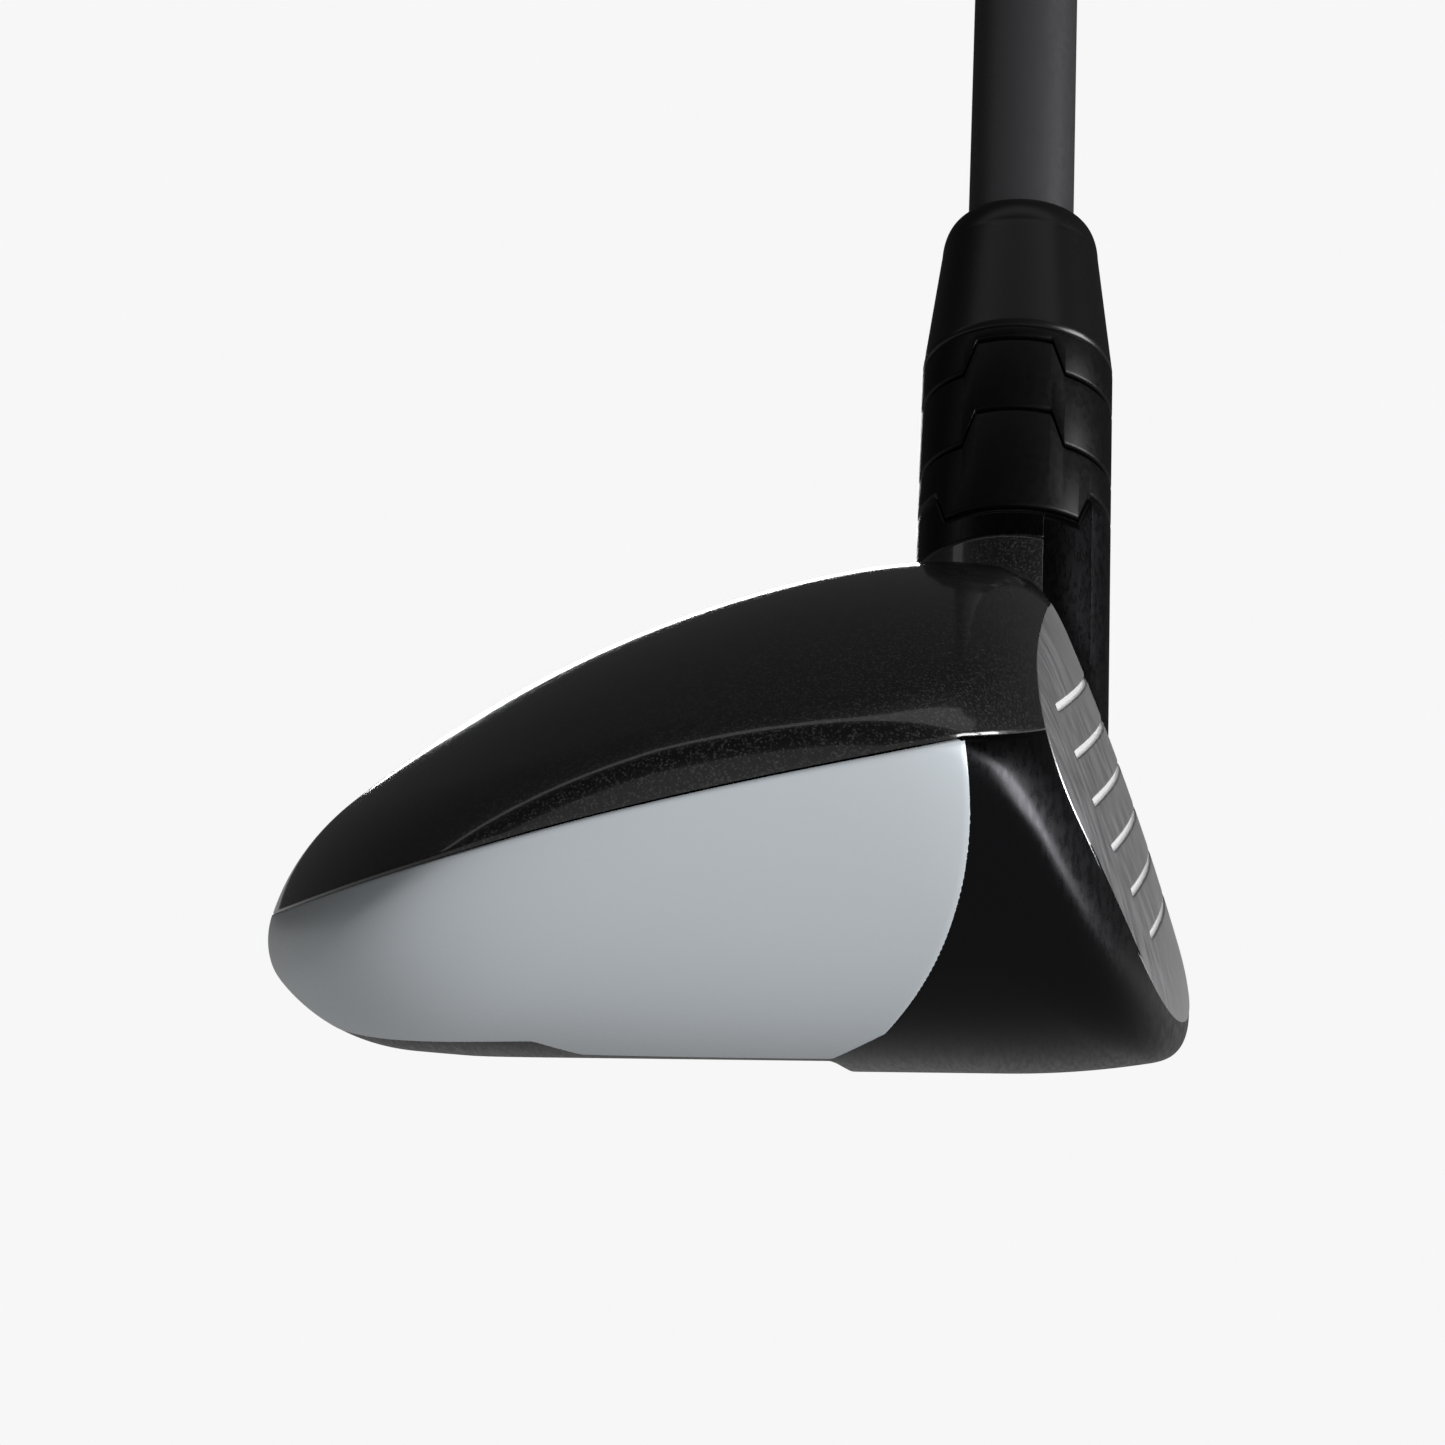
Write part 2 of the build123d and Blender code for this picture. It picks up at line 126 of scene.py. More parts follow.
def half_width(x):
    """Half the reach of the head from toe to heel."""
    depth = np.where(x < WIDEST_X, BACK_DEPTH, FRONT_DEPTH * 1.6)
    u = np.minimum(np.abs(x - WIDEST_X) / depth, 0.97)
    return HALF_LENGTH * (1 - u ** PLAN_POWER) ** (1 / PLAN_POWER)


# Each of the next fields is a rough distance in mm, negative inside the head.
def above_crown(x, y, z):
    middle = HEAD_Y + 4.0 * np.clip((x + 20.0) / 30.0, 0.0, 1.0)
    across = np.minimum(np.abs(y - middle) / half_width(x), 1.6)
    rise = np.maximum(crest_height(x) - parting_height(x), 0.5)
    return (z - crest_height(x) + rise * 0.88 * across ** 2.5) * 0.9


def outside_skirt(x, y, z):
    x_square = x + math.tan(LOFT) * tilt_share(x) * (z - FACE_CENTRE[2])
    depth = np.where(x_square < WIDEST_X, BACK_DEPTH, FRONT_DEPTH)
    u = (x_square - WIDEST_X) / depth
    v = (y - HEAD_Y) / HALF_LENGTH
    ratio = (np.abs(u) ** PLAN_POWER + np.abs(v) ** PLAN_POWER) ** (1 / PLAN_POWER)
    reach = np.hypot(x_square - WIDEST_X, y - HEAD_Y) / np.maximum(ratio, 1e-6)
    below = np.maximum(parting_height(x) - z, 0.0)
    tuck_tail = 0.55 * (np.sqrt(below ** 2 + 4) - 2)
    tuck_side = 0.32 * (np.sqrt(below ** 2 + 25) - 5)
    share = np.where(x_square < WIDEST_X, u * u / (u * u + v * v + 1e-9), 0.0)
    return (ratio - 1) * reach + tuck_tail * share + tuck_side * (1 - share)


def below_sole(x, y, z):
    across = y - HEAD_Y
    camber = across ** 2 / (2 * SOLE_CAMBER_R)
    back_rise = 1.3 * (np.maximum(-12.0 - x, 0.0) / 30.0) ** 2
    front_rise = np.maximum(x - 2.0, 0.0) ** 2 / 120.0
    ends_rise = np.where(across < 0, 8.0, 2.5) * (np.abs(across) / 38.0) ** 6
    pad = camber + back_rise + front_rise + ends_rise
    step = SOLE_STEP * (1 - smooth_share(x, SOLE_STEP_X - 0.5, SOLE_STEP_X + 0.5))
    return np.maximum(pad, camber + step) - z


def before_face(x, y, z):
    out = (x - FACE_CENTRE[0]) * math.cos(LOFT) + (z - FACE_CENTRE[2]) * math.sin(LOFT)
    up = (z - FACE_CENTRE[2]) * math.cos(LOFT) - (x - FACE_CENTRE[0]) * math.sin(LOFT)
    return out + (y - FACE_CENTRE[1]) ** 2 / (2 * BULGE_R) + up ** 2 / (2 * ROLL_R)


def rim_field(x, y, z):
    """The head with no face: crown, skirt and sole."""
    sides = blend_max(above_crown(x, y, z), outside_skirt(x, y, z), 7.0)
    return blend_max(sides, below_sole(x, y, z), 5.0)


def head_field(x, y, z):
    return blend_max(rim_field(x, y, z), before_face(x, y, z), EDGE_BLEND)


def about_shaft(x, y, z):
    """Distance along the shaft axis, and distance from it."""
    along = y * SHAFT_DIR[1] + z * SHAFT_DIR[2]
    return along, np.sqrt(np.maximum(x * x + y * y + z * z - along * along, 0.0))


def hosel_field(x, y, z):
    along, radius = about_shaft(x, y, z)
    return blend_max(radius - HOSEL_R, PORT_END - along, 1.5)


def heel_field(x, y, z):
    return blend_min(head_field(x, y, z), hosel_field(x, y, z), 7.5)


def cast(origin, direction, field, reach=70.0, steps=34):
    """Point at which each ray from origin leaves the form."""
    low = np.zeros(direction.shape[:-1])
    high = np.full(direction.shape[:-1], reach)
    for _ in range(steps):
        middle = (low + high) / 2
        point = origin + direction * middle[..., None]
        inside = field(point[..., 0], point[..., 1], point[..., 2]) < 0
        low = np.where(inside, middle, low)
        high = np.where(inside, high, middle)
    return origin + direction * high[..., None]


def halving(low, high, beyond, steps=24):
    """Value between low and high at which beyond(value) changes from false to true."""
    for _ in range(steps):
        middle = (low + high) / 2
        hit = beyond(middle)
        high = np.where(hit, middle, high)
        low = np.where(hit, low, middle)
    return (low + high) / 2


def first_crossing(condition, start, end, shape, coarse, steps=26):
    """Smallest value from start to end at which condition(value) turns true.

    It is looked for in coarse even steps, and then closed in on.
    """
    low = np.full(shape, start, dtype=float)
    high = np.full(shape, end, dtype=float)
    found = np.zeros(shape, dtype=bool)
    for i in range(1, coarse + 1):
        value = start + (end - start) * i / coarse
        hit = condition(np.full(shape, value)) & ~found
        high = np.where(hit, value, high)
        low = np.where(hit, start + (end - start) * (i - 1) / coarse, low)
        found |= hit
    for _ in range(steps):
        middle = (low + high) / 2
        hit = condition(middle)
        high = np.where(found & hit, middle, high)
        low = np.where(found & ~hit, middle, low)
    return np.where(found, high, end)


# ---- a net over the head: a runs from the face edge (0) to the tail (1), angle round it ----
EDGE_BLEND = 3.0              # rounding between the face and the rest
FACE_MARGIN = 1.3             # the face piece stops this far inside the edge of the head
FACE_HEEL_Y = -5.0
ROLL_SHARE = 0.12             # part of a that rolls round the face edge
RING_SHARE = 0.60             # part of a at which the rings turn into the tail's dome
FIRST_RING_X = 4.6
TURN_X = -28.0
NET_Y = -36.0
TAIL_Z = 10.0
FACE_OUT = np.array([math.cos(LOFT), 0.0, math.sin(LOFT)])
FACE_UP = np.array([-math.sin(LOFT), 0.0, math.cos(LOFT)])
ROLL_CENTRE = np.array([-3.0, -36.5, 16.0])
TAIL_CENTRE = np.array([TURN_X, NET_Y, TAIL_Z])


def unit(v):
    return v / np.linalg.norm(v, axis=-1, keepdims=True)


def face_point(side, up, drop=0.0):
    """Point of the face, side along +Y and up along it from the middle, drop mm deep."""
    back = side ** 2 / (2 * BULGE_R) + up ** 2 / (2 * ROLL_R) + drop
    point = FACE_CENTRE + up[..., None] * FACE_UP - back[..., None] * FACE_OUT
    point[..., 1] += side
    return point


def beyond_face(side, up):
    """Positive where a point of the face lies outside the face plate."""
    point = face_point(side, up)
    x, y, z = point[..., 0], point[..., 1], point[..., 2]
    return blend_max(rim_field(x, y, z) + FACE_MARGIN, y - FACE_HEEL_Y, 8.0)


def face_edge(angle):
    """Point of the face plate's edge in a direction from its middle."""
    def outside(radius):
        return beyond_face(radius * np.cos(angle), radius * np.sin(angle)) > 0
    radius = first_crossing(outside, 4.0, 50.0, angle.shape, 46)
    return face_point(radius * np.cos(angle), radius * np.sin(angle))


def ring_height(x):
    """Height of the middle of a ring of the net."""
    return TAIL_Z + 5.5 * smooth_share(x, TURN_X, 0.0)


def ring_point(ring_x, angle):
    """Surface point on a ring; the front rings lean and bulge with the face."""
    tilt = tilt_share(ring_x)
    low = np.zeros(angle.shape)
    high = np.full(angle.shape, 70.0)
    for _ in range(30):
        radius = (low + high) / 2
        y = NET_Y + radius * np.cos(angle)
        z = ring_height(ring_x) + radius * np.sin(angle)
        sag = (y - FACE_CENTRE[1]) ** 2 / (2 * BULGE_R)
        x = ring_x - tilt * (math.tan(LOFT) * (z - FACE_CENTRE[2]) + sag)
        inside = head_field(x, y, z) < 0
        low = np.where(inside, radius, low)
        high = np.where(inside, high, radius)
    return np.stack([x, y, z], axis=-1)


def dome_point(turn, angle):
    """Point of the tail; turn is 0 on the last ring and a quarter turn at the very end."""
    direction = np.stack(
        [-np.sin(turn), np.cos(angle) * np.cos(turn), np.sin(angle) * np.cos(turn)], axis=-1
    )
    return cast(TAIL_CENTRE, direction, head_field)


def roll_point(roll, angle):
    """Point between the face plate's edge (roll 0) and the first ring (roll 1)."""
    ahead = unit(face_edge(angle) - ROLL_CENTRE)
    behind = unit(ring_point(np.full(angle.shape, FIRST_RING_X), angle) - ROLL_CENTRE)
    turn = np.arccos(np.clip(np.sum(ahead * behind, axis=-1), -1, 1))
    sine = np.maximum(np.sin(turn), 1e-9)
    direction = ahead * (np.sin((1 - roll) * turn) / sine)[..., None]
    direction += behind * (np.sin(roll * turn) / sine)[..., None]
    return cast(ROLL_CENTRE, unit(direction), head_field)


def head_point(a, angle):
    """Point of the head's surface in the net."""
    point = np.empty(a.shape + (3,))
    rolls, domes = a < ROLL_SHARE, a > RING_SHARE
    rings = ~rolls & ~domes
    if rolls.any():
        point[rolls] = roll_point(a[rolls] / ROLL_SHARE, angle[rolls])
    if rings.any():
        run = (a[rings] - ROLL_SHARE) / (RING_SHARE - ROLL_SHARE)
        point[rings] = ring_point(FIRST_RING_X + (TURN_X - FIRST_RING_X) * run, angle[rings])
    if domes.any():
        turn = (a[domes] - RING_SHARE) / (1 - RING_SHARE) * math.pi / 2
        point[domes] = dome_point(turn, angle[domes])
    return point


def parting_angle(a, toe_side):
    """Angle at which the net crosses the line between crown and skirt."""
    def below(angle):
        point = head_point(a, angle)
        return point[..., 2] <= parting_height(point[..., 0])
    low = np.full(a.shape, math.radians(90.0))
    high = np.full(a.shape, math.radians(235.0 if toe_side else -55.0))
    return halving(low, high, below)


# ---- the side panel's outline ------------------------------------------------------------
def circle_through(p, q, r):
    """Centre and radius of the circle through three points."""
    ax, ay, bx, by, cx, cy = *p, *q, *r
    d = 2 * (ax * (by - cy) + bx * (cy - ay) + cx * (ay - by))
    a2, b2, c2 = ax * ax + ay * ay, bx * bx + by * by, cx * cx + cy * cy
    ux = (a2 * (by - cy) + b2 * (cy - ay) + c2 * (ay - by)) / d
    uy = (a2 * (cx - bx) + b2 * (ax - cx) + c2 * (bx - ax)) / d
    return ux, uy, math.hypot(ax - ux, ay - uy)


PANEL_ARC = circle_through(PANEL_TOP_FRONT, PANEL_MIDDLE_FRONT, PANEL_LOW_FRONT)
PANEL_TUCK = 0.5              # the body sinks this far under the panel
TUCK_SPAN = (0.45, 1.1)       # distance inside the panel's outline over which it does


def panel_front(z):
    cx, cz, radius = PANEL_ARC
    return cx + np.sqrt(np.maximum(radius ** 2 - (z - cz) ** 2, 0.0))


def panel_bottom(x):
    return np.interp(x, PANEL_BOTTOM_X, PANEL_BOTTOM_Z)


def inside_panel(point):
    """Distance inside the outline of the panel, in mm, negative outside."""
    x, y, z = point[..., 0], point[..., 1], point[..., 2]
    front = np.where(y < HEAD_Y, panel_front(z), PANEL_HEEL_X)
    return np.minimum(front - x, z - panel_bottom(x))


# ---- mesh helpers ------------------------------------------------------------------------
GROUND_CLEARANCE = 0.01       # no piece of the head comes nearer to the ground


def add_mesh(name, verts, faces, material, sharp=40.0):
    mesh = bpy.data.meshes.new(name)
    mesh.from_pydata([tuple(v) for v in np.asarray(verts) * MM], [], faces)
    mesh.materials.append(material)
    mesh.polygons.foreach_set("use_smooth", [True] * len(mesh.polygons))
    mesh.set_sharp_from_angle(angle=math.radians(sharp))
    mesh.update()
    piece = bpy.data.objects.new(name, mesh)
    bpy.context.collection.objects.link(piece)
    return piece


def grid_faces(rows, cols, wrap_rows=False, wrap_cols=False):
    """Four-sided faces between the points of a grid."""
    i, j = np.meshgrid(
        np.arange(rows if wrap_rows else rows - 1),
        np.arange(cols if wrap_cols else cols - 1), indexing="ij"
    )
    i, j = i.ravel(), j.ravel()
    i2, j2 = (i + 1) % rows, (j + 1) % cols
    return np.stack([i * cols + j, i * cols + j2, i2 * cols + j2, i2 * cols + j], axis=1)


def weld(piece):
    shape = bmesh.new()
    shape.from_mesh(piece.data)
    bmesh.ops.remove_doubles(shape, verts=shape.verts, dist=0.003 * MM)
    bmesh.ops.dissolve_degenerate(shape, dist=0.002 * MM, edges=shape.edges)
    shape.to_mesh(piece.data)
    shape.free()


def thicken(piece, depth):
    """Give an open skin a wall on its inner side."""
    modifier = piece.modifiers.new("wall", "SOLIDIFY")
    modifier.thickness = depth * MM
    modifier.offset = -1.0
    graph = bpy.context.evaluated_depsgraph_get()
    mesh = bpy.data.meshes.new_from_object(piece.evaluated_get(graph))
    piece.modifiers.clear()
    place = np.zeros(len(mesh.vertices) * 3)
    mesh.vertices.foreach_get("co", place)
    place[2::3] = np.maximum(place[2::3], GROUND_CLEARANCE * MM)
    mesh.vertices.foreach_set("co", place)
    piece.data = mesh


def skin(name, points, material, centre, wall, keep=None, sharp=40.0):
    """A thick skin over a net of points, facing away from centre and not below the ground."""
    points = points.copy()
    points[..., 2] = np.maximum(points[..., 2], GROUND_CLEARANCE)
    rows, cols = points.shape[:2]
    faces = grid_faces(rows, cols)
    flat = points.reshape(-1, 3)
    corner = flat[faces]
    middle = corner.mean(axis=1)
    normal = np.cross(corner[:, 2] - corner[:, 0], corner[:, 3] - corner[:, 1])
    if np.sum(normal * (middle - np.asarray(centre))) < 0:
        faces = faces[:, ::-1]
    if keep is not None:
        faces = faces[keep(middle)]
    piece = add_mesh(name, flat, faces.tolist(), material, sharp)
    weld(piece)
    thicken(piece, wall)
    return piece


# ---- turned pieces about the shaft axis --------------------------------------------------
TOE_SIDE = np.array([0.0, -SHAFT_DIR[2], SHAFT_DIR[1]])
FRONT_SIDE = np.array([1.0, 0.0, 0.0])


def axis_point(radius, turn, along):
    around = np.cos(turn)[..., None] * TOE_SIDE + np.sin(turn)[..., None] * FRONT_SIDE
    return along[..., None] * SHAFT_DIR + radius[..., None] * around


def closed_turning(name, radius, along, turn, material, sharp=35.0):
    """Closed loop of profile points (rows) turned about the shaft axis (columns)."""
    points = axis_point(radius, turn, along)
    rows, cols = points.shape[:2]
    faces = grid_faces(rows, cols, True, True)
    return add_mesh(name, points.reshape(-1, 3), faces.tolist(), material, sharp)


def turned(name, profile, material, columns=144, sharp=35.0):
    """Turn a closed outline of (radius, height) about the shaft axis."""
    profile = np.array(profile, dtype=float)
    turn = np.linspace(0, 2 * math.pi, columns, endpoint=False)
    shape = (len(profile), columns)
    radius = np.broadcast_to(profile[:, :1], shape)
    along = np.broadcast_to(profile[:, 1:], shape)
    return closed_turning(name, radius, along, np.broadcast_to(turn, shape), material, sharp)


def stepped(points, step):
    """A broken line with extra points, no further apart than step."""
    line = [points[0]]
    for start, end in zip(points, points[1:]):
        count = max(int(math.dist(start, end) / step), 1)
        for i in range(1, count + 1):
            line.append((start[0] + (end[0] - start[0]) * i / count,
                         start[1] + (end[1] - start[1]) * i / count))
    return line


TOOTH_FLANK = (3.2, 4.3)      # distance of a tooth's sloping side from the middle, top and foot
SOCKET_FLANK = (5.6, 6.5)     # the same for the wide socket in the hosel


def tooth_line(levels, shift):
    """Joint line high in the middle, as seen from the toe."""
    low, high = levels[0] + shift, levels[1] + shift
    return lambda x: np.interp(np.abs(x), TOOTH_FLANK, [high, low])


def socket_line(levels, shift):
    """Joint line low in the middle, as seen from the toe."""
    low, high = levels[0] + shift, levels[1] + shift
    return lambda x: np.interp(np.abs(x), SOCKET_FLANK, [low, high])


def level_line(level):
    return lambda x: np.full(np.shape(x), float(level))


RIM = 0.32                    # rounding at the mouths of the joints
RING_COLUMNS = 540


def rim_steps(edge_way):
    """Rounded corner as (inset, offset from the joint line); edge_way +1 for a lower edge."""
    return [
        (RIM * (1 - math.sin(angle)), edge_way * RIM * (1 - math.cos(angle)))
        for angle in quarter_turn(4)
    ]


def lined_turning(name, profile, material):
    """Turn a profile of (radius, joint line, offset from that line) about the shaft axis."""
    turn = np.linspace(0, 2 * math.pi, RING_COLUMNS, endpoint=False)
    radius = np.stack([np.full(RING_COLUMNS, r) for r, _, _ in profile])
    along = np.stack([line(r * np.sin(turn)) + offset for r, line, offset in profile])
    turns = np.repeat(turn[None, :], len(profile), axis=0)
    return closed_turning(name, radius, along, turns, material, 50.0)


def toothed_ring(name, lower, upper, outer, inner, material):
    """Ring between two joint lines, its outer corners rounded."""
    profile = [(inner, lower, 0.0)]
    profile += [(outer - inset, lower, offset) for inset, offset in rim_steps(1)]
    profile += [(outer - inset, upper, offset) for inset, offset in reversed(rim_steps(-1))]
    profile.append((inner, upper, 0.0))
    return lined_turning(name, profile, material)


# ---- materials -----------------------------------------------------------------------------
for plain in list(bpy.data.materials):
    bpy.data.materials.remove(plain)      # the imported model's own flat colours


def new_material(name, color, metallic=0.0, roughness=0.5, **more):
    material = bpy.data.materials.new(name)
    material.use_nodes = True
    shader = material.node_tree.nodes["Principled BSDF"]
    shader.inputs["Base Color"].default_value = (*color, 1.0)
    shader.inputs["Metallic"].default_value = metallic
    shader.inputs["Roughness"].default_value = roughness
    for socket, value in more.items():
        shader.inputs[socket.replace("_", " ")].default_value = value
    material.diffuse_color = (*color, 1.0)
    return material


def nodes_of(material):
    tree = material.node_tree
    return tree, tree.nodes["Principled BSDF"]


def place_node(tree, scale):
    """Object coordinates stretched by scale."""
    where = tree.nodes.new("ShaderNodeTexCoord")
    mapping = tree.nodes.new("ShaderNodeMapping")
    mapping.inputs["Scale"].default_value = scale
    tree.links.new(where.outputs["Object"], mapping.inputs["Vector"])
    return mapping.outputs["Vector"]


GRAIN_HEIGHT = 0.00002        # metres


def add_grain(material, scale, size, low, high, bump=0.0):
    """Noise that varies the roughness between low and high, and may raise fine grain."""
    tree, shader = nodes_of(material)
    noise = tree.nodes.new("ShaderNodeTexNoise")
    noise.inputs["Scale"].default_value = size
    noise.inputs["Detail"].default_value = 3.0
    tree.links.new(place_node(tree, scale), noise.inputs["Vector"])
    span = tree.nodes.new("ShaderNodeMapRange")
    span.inputs["From Min"].default_value = 0.3
    span.inputs["From Max"].default_value = 0.7
    span.inputs["To Min"].default_value = low
    span.inputs["To Max"].default_value = high
    tree.links.new(noise.outputs["Fac"], span.inputs["Value"])
    tree.links.new(span.outputs["Result"], shader.inputs["Roughness"])
    if bump:
        ridge = tree.nodes.new("ShaderNodeBump")
        ridge.inputs["Strength"].default_value = bump
        ridge.inputs["Distance"].default_value = GRAIN_HEIGHT
        tree.links.new(noise.outputs["Fac"], ridge.inputs["Height"])
        tree.links.new(ridge.outputs["Normal"], shader.inputs["Normal"])
    return material


def add_flake(material, dark, light, size, share):
    """Tiny metal flakes in a lacquer: cells of random brightness."""
    tree, shader = nodes_of(material)
    cells = tree.nodes.new("ShaderNodeTexVoronoi")
    cells.inputs["Scale"].default_value = size
    tree.links.new(place_node(tree, (1, 1, 1)), cells.inputs["Vector"])
    ramp = tree.nodes.new("ShaderNodeValToRGB")
    ramp.color_ramp.elements[0].position = 1.0 - share
    ramp.color_ramp.elements[0].color = (*dark, 1.0)
    ramp.color_ramp.elements[1].position = 1.0
    ramp.color_ramp.elements[1].color = (*light, 1.0)
    split = tree.nodes.new("ShaderNodeSeparateColor")
    tree.links.new(cells.outputs["Color"], split.inputs["Color"])
    tree.links.new(split.outputs["Red"], ramp.inputs["Fac"])
    tree.links.new(ramp.outputs["Color"], shader.inputs["Base Color"])
    return material


def grained(name, color, metallic, roughness, size, low, high, bump=0.0, **more):
    """A material with the same grain in every direction."""
    material = new_material(name, color, metallic, roughness, **more)
    return add_grain(material, (1, 1, 1), size, low, high, bump)


body_black = add_grain(
    new_material("body_black", (0.024, 0.024, 0.026), 1.0, 0.30, Anisotropic=0.6),
    (4000, 500, 1200), 1.0, 0.24, 0.34, 0.15,
)
crown_black = add_flake(
    new_material("crown_gloss_black", (0.003, 0.003, 0.003), 0.0, 0.35,
                 Coat_Weight=1.0, Coat_Roughness=0.08),
    (0.001, 0.001, 0.001), (0.013, 0.013, 0.014), 9000, 0.30,
)
panel_grey = grained("panel_grey", (0.33, 0.355, 0.375), 0.40, 0.42, 2500.0, 0.36, 0.44, 0.1,
                     Coat_Weight=0.3, Coat_Roughness=0.25)
face_steel = add_grain(
    new_material("face_steel", (0.50, 0.50, 0.51), 1.0, 0.42),
    (300, 1500, 300), 1.0, 0.36, 0.48, 0.25,
)
# Light grey in the grooves: a painted highlight standing in for the glint that runs along each
# groove.
groove_highlight = new_material("groove_highlight", (0.30, 0.30, 0.30), 0.0, 0.55)
keel_black = grained("keel_black", (0.016, 0.016, 0.018), 0.0, 0.35, 1500.0, 0.30, 0.42)
dense_metal = grained("dense_metal", (0.30, 0.30, 0.30), 1.0, 0.55, 900.0, 0.45, 0.65)
raw_steel = grained("raw_steel", (0.45, 0.45, 0.45), 1.0, 0.45, 900.0, 0.38, 0.55)
weight_black = grained("weight_black", (0.03, 0.03, 0.032), 1.0, 0.35, 1200.0, 0.30, 0.42)
screw_steel = grained("screw_steel", (0.22, 0.22, 0.23), 1.0, 0.33, 1200.0, 0.28, 0.40)
washer_steel = grained("washer_steel", (0.55, 0.55, 0.55), 1.0, 0.30, 1200.0, 0.25, 0.38)
nylon = grained("nylon", (0.75, 0.74, 0.70), 0.0, 0.50, 900.0, 0.45, 0.55)
sleeve_black = grained("sleeve_black", (0.0008, 0.0008, 0.0009), 0.0, 0.36, 1500.0, 0.34, 0.44,
                       Specular_IOR_Level=0.2)
cog_black = grained("cog_black", (0.0008, 0.0008, 0.0009), 0.0, 0.38, 1800.0, 0.32, 0.44, 0.1,
                    Specular_IOR_Level=0.2)
ring_rubber = grained("ring_rubber", (0.02, 0.02, 0.02), 0.0, 0.60, 900.0, 0.55, 0.70)
ferrule_black = grained("ferrule_black", (0.002, 0.002, 0.002), 0.0, 0.30, 2500.0, 0.28, 0.32,
                        Specular_IOR_Level=0.4)
shaft_grey = grained("shaft_graphite", (0.014, 0.014, 0.015), 0.0, 0.48, 1400.0, 0.40, 0.50,
                     Specular_IOR_Level=0.4)
brass = grained("brass", (0.70, 0.50, 0.25), 1.0, 0.40, 900.0, 0.35, 0.50)
tape_paper = grained("tape_paper", (0.72, 0.68, 0.55), 0.0, 0.80, 900.0, 0.75, 0.90)
grip_rubber = grained("grip_rubber", (0.022, 0.022, 0.023), 0.0, 0.62, 700.0, 0.56, 0.70, 0.3)
cap_rubber = grained("grip_cap_rubber", (0.020, 0.020, 0.021), 0.0, 0.55, 700.0, 0.50, 0.62, 0.2)

node_material = {
    "main_body": body_black, "face_plate": face_steel, "crown_shell": crown_black,
    "skirt_panel": panel_grey, "sole_insert": keel_black, "tungsten_block": dense_metal,
    "brace_bars": raw_steel, "rear_weight": weight_black, "rear_weight_screw": screw_steel,
    "hosel_screw": screw_steel, "screw_washer": washer_steel, "screw_retainer": nylon,
    "shaft_sleeve": sleeve_black, "lower_cog": cog_black, "upper_cog": cog_black,
    "lower_cog_ring": ring_rubber, "upper_cog_ring": ring_rubber, "ferrule": ferrule_black,
    "shaft": shaft_grey, "tip_plug": brass, "grip_tape": tape_paper, "grip": grip_rubber,
    "grip_cap": cap_rubber,
}
for node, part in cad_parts.items():
    part.data.materials.clear()
    part.data.materials.append(node_material[node])


def stand_for(piece, node, body):
    """Let a piece ride on a body and take the place of a CAD node."""
    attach(piece, body)
    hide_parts(node)


# ---- head: crown, body skin, side panel, face ----------------------------------------------
NET_ROWS = 230
CROWN_COLUMNS = 330
BODY_COLUMNS = 360
HOSEL_BITE = 6.9              # the net is left open inside the hosel tube
INNER = (-12.0, -36.0, 14.0)  # a point inside the head


def net_rows(count):
    """Values of a, closer together round the face edge."""
    roll = np.linspace(0, ROLL_SHARE, count // 5, endpoint=False)
    rest = ROLL_SHARE + (1 - ROLL_SHARE) * np.linspace(0, 1, count - count // 5)
    return np.concatenate([roll, rest])


def outside_hosel(middle):
    along, radius = about_shaft(middle[:, 0], middle[:, 1], middle[:, 2])
    return (radius > HOSEL_BITE) | (along < 1.0)


rows = net_rows(NET_ROWS)
toe_angle = parting_angle(rows, True)
heel_angle = parting_angle(rows, False)


def net_between(start, end, columns):
    share = np.linspace(0, 1, columns)
    angle = start[:, None] + (end - start)[:, None] * share
    return head_point(np.repeat(rows[:, None], columns, axis=1), angle)


crown = skin("crown_skin", net_between(heel_angle, toe_angle, CROWN_COLUMNS), crown_black,
             INNER, 0.9, outside_hosel)
stand_for(crown, "crown_shell", "head")

WEIGHT_AT = np.array([-37.5, HEAD_Y])
WEIGHT_HOLE_R = 6.15
SNAP_REACH = 0.32             # points of the net this near the hole's edge are moved onto it
UNDERSIDE_Z = 8.0             # the hole is only in what lies below this
under = net_between(toe_angle, heel_angle + 2 * math.pi, BODY_COLUMNS)
tuck = PANEL_TUCK * smooth_share(inside_panel(under), *TUCK_SPAN)
under = under - unit(under - np.array(INNER)) * tuck[..., None]
from_weight = under[..., :2] - WEIGHT_AT
reach = np.linalg.norm(from_weight, axis=-1)
snap = (np.abs(reach - WEIGHT_HOLE_R) < SNAP_REACH) & (under[..., 2] < UNDERSIDE_Z)
under[snap, :2] = WEIGHT_AT + from_weight[snap] * (WEIGHT_HOLE_R / reach[snap])[:, None]


def open_underside(middle):
    """Whether the net is kept at a point: not in the hosel tube or in the weight's hole."""
    near = np.hypot(middle[:, 0] - WEIGHT_AT[0], middle[:, 1] - WEIGHT_AT[1])
    return outside_hosel(middle) & ((near > WEIGHT_HOLE_R - 0.06) | (middle[:, 2] > UNDERSIDE_Z))


body = skin("body_skin", under, body_black, INNER, 1.0, open_underside)
stand_for(body, "main_body", "head")

# The side panel, round the vertical line through its centre.
PANEL_CENTRE = np.array([-16.0, -36.0, 14.0])


def panel_ray(turn, rise):
    direction = np.stack(
        [np.cos(turn) * np.cos(rise), np.sin(turn) * np.cos(rise), np.sin(rise)], axis=-1
    )
    return cast(PANEL_CENTRE, direction, head_field)


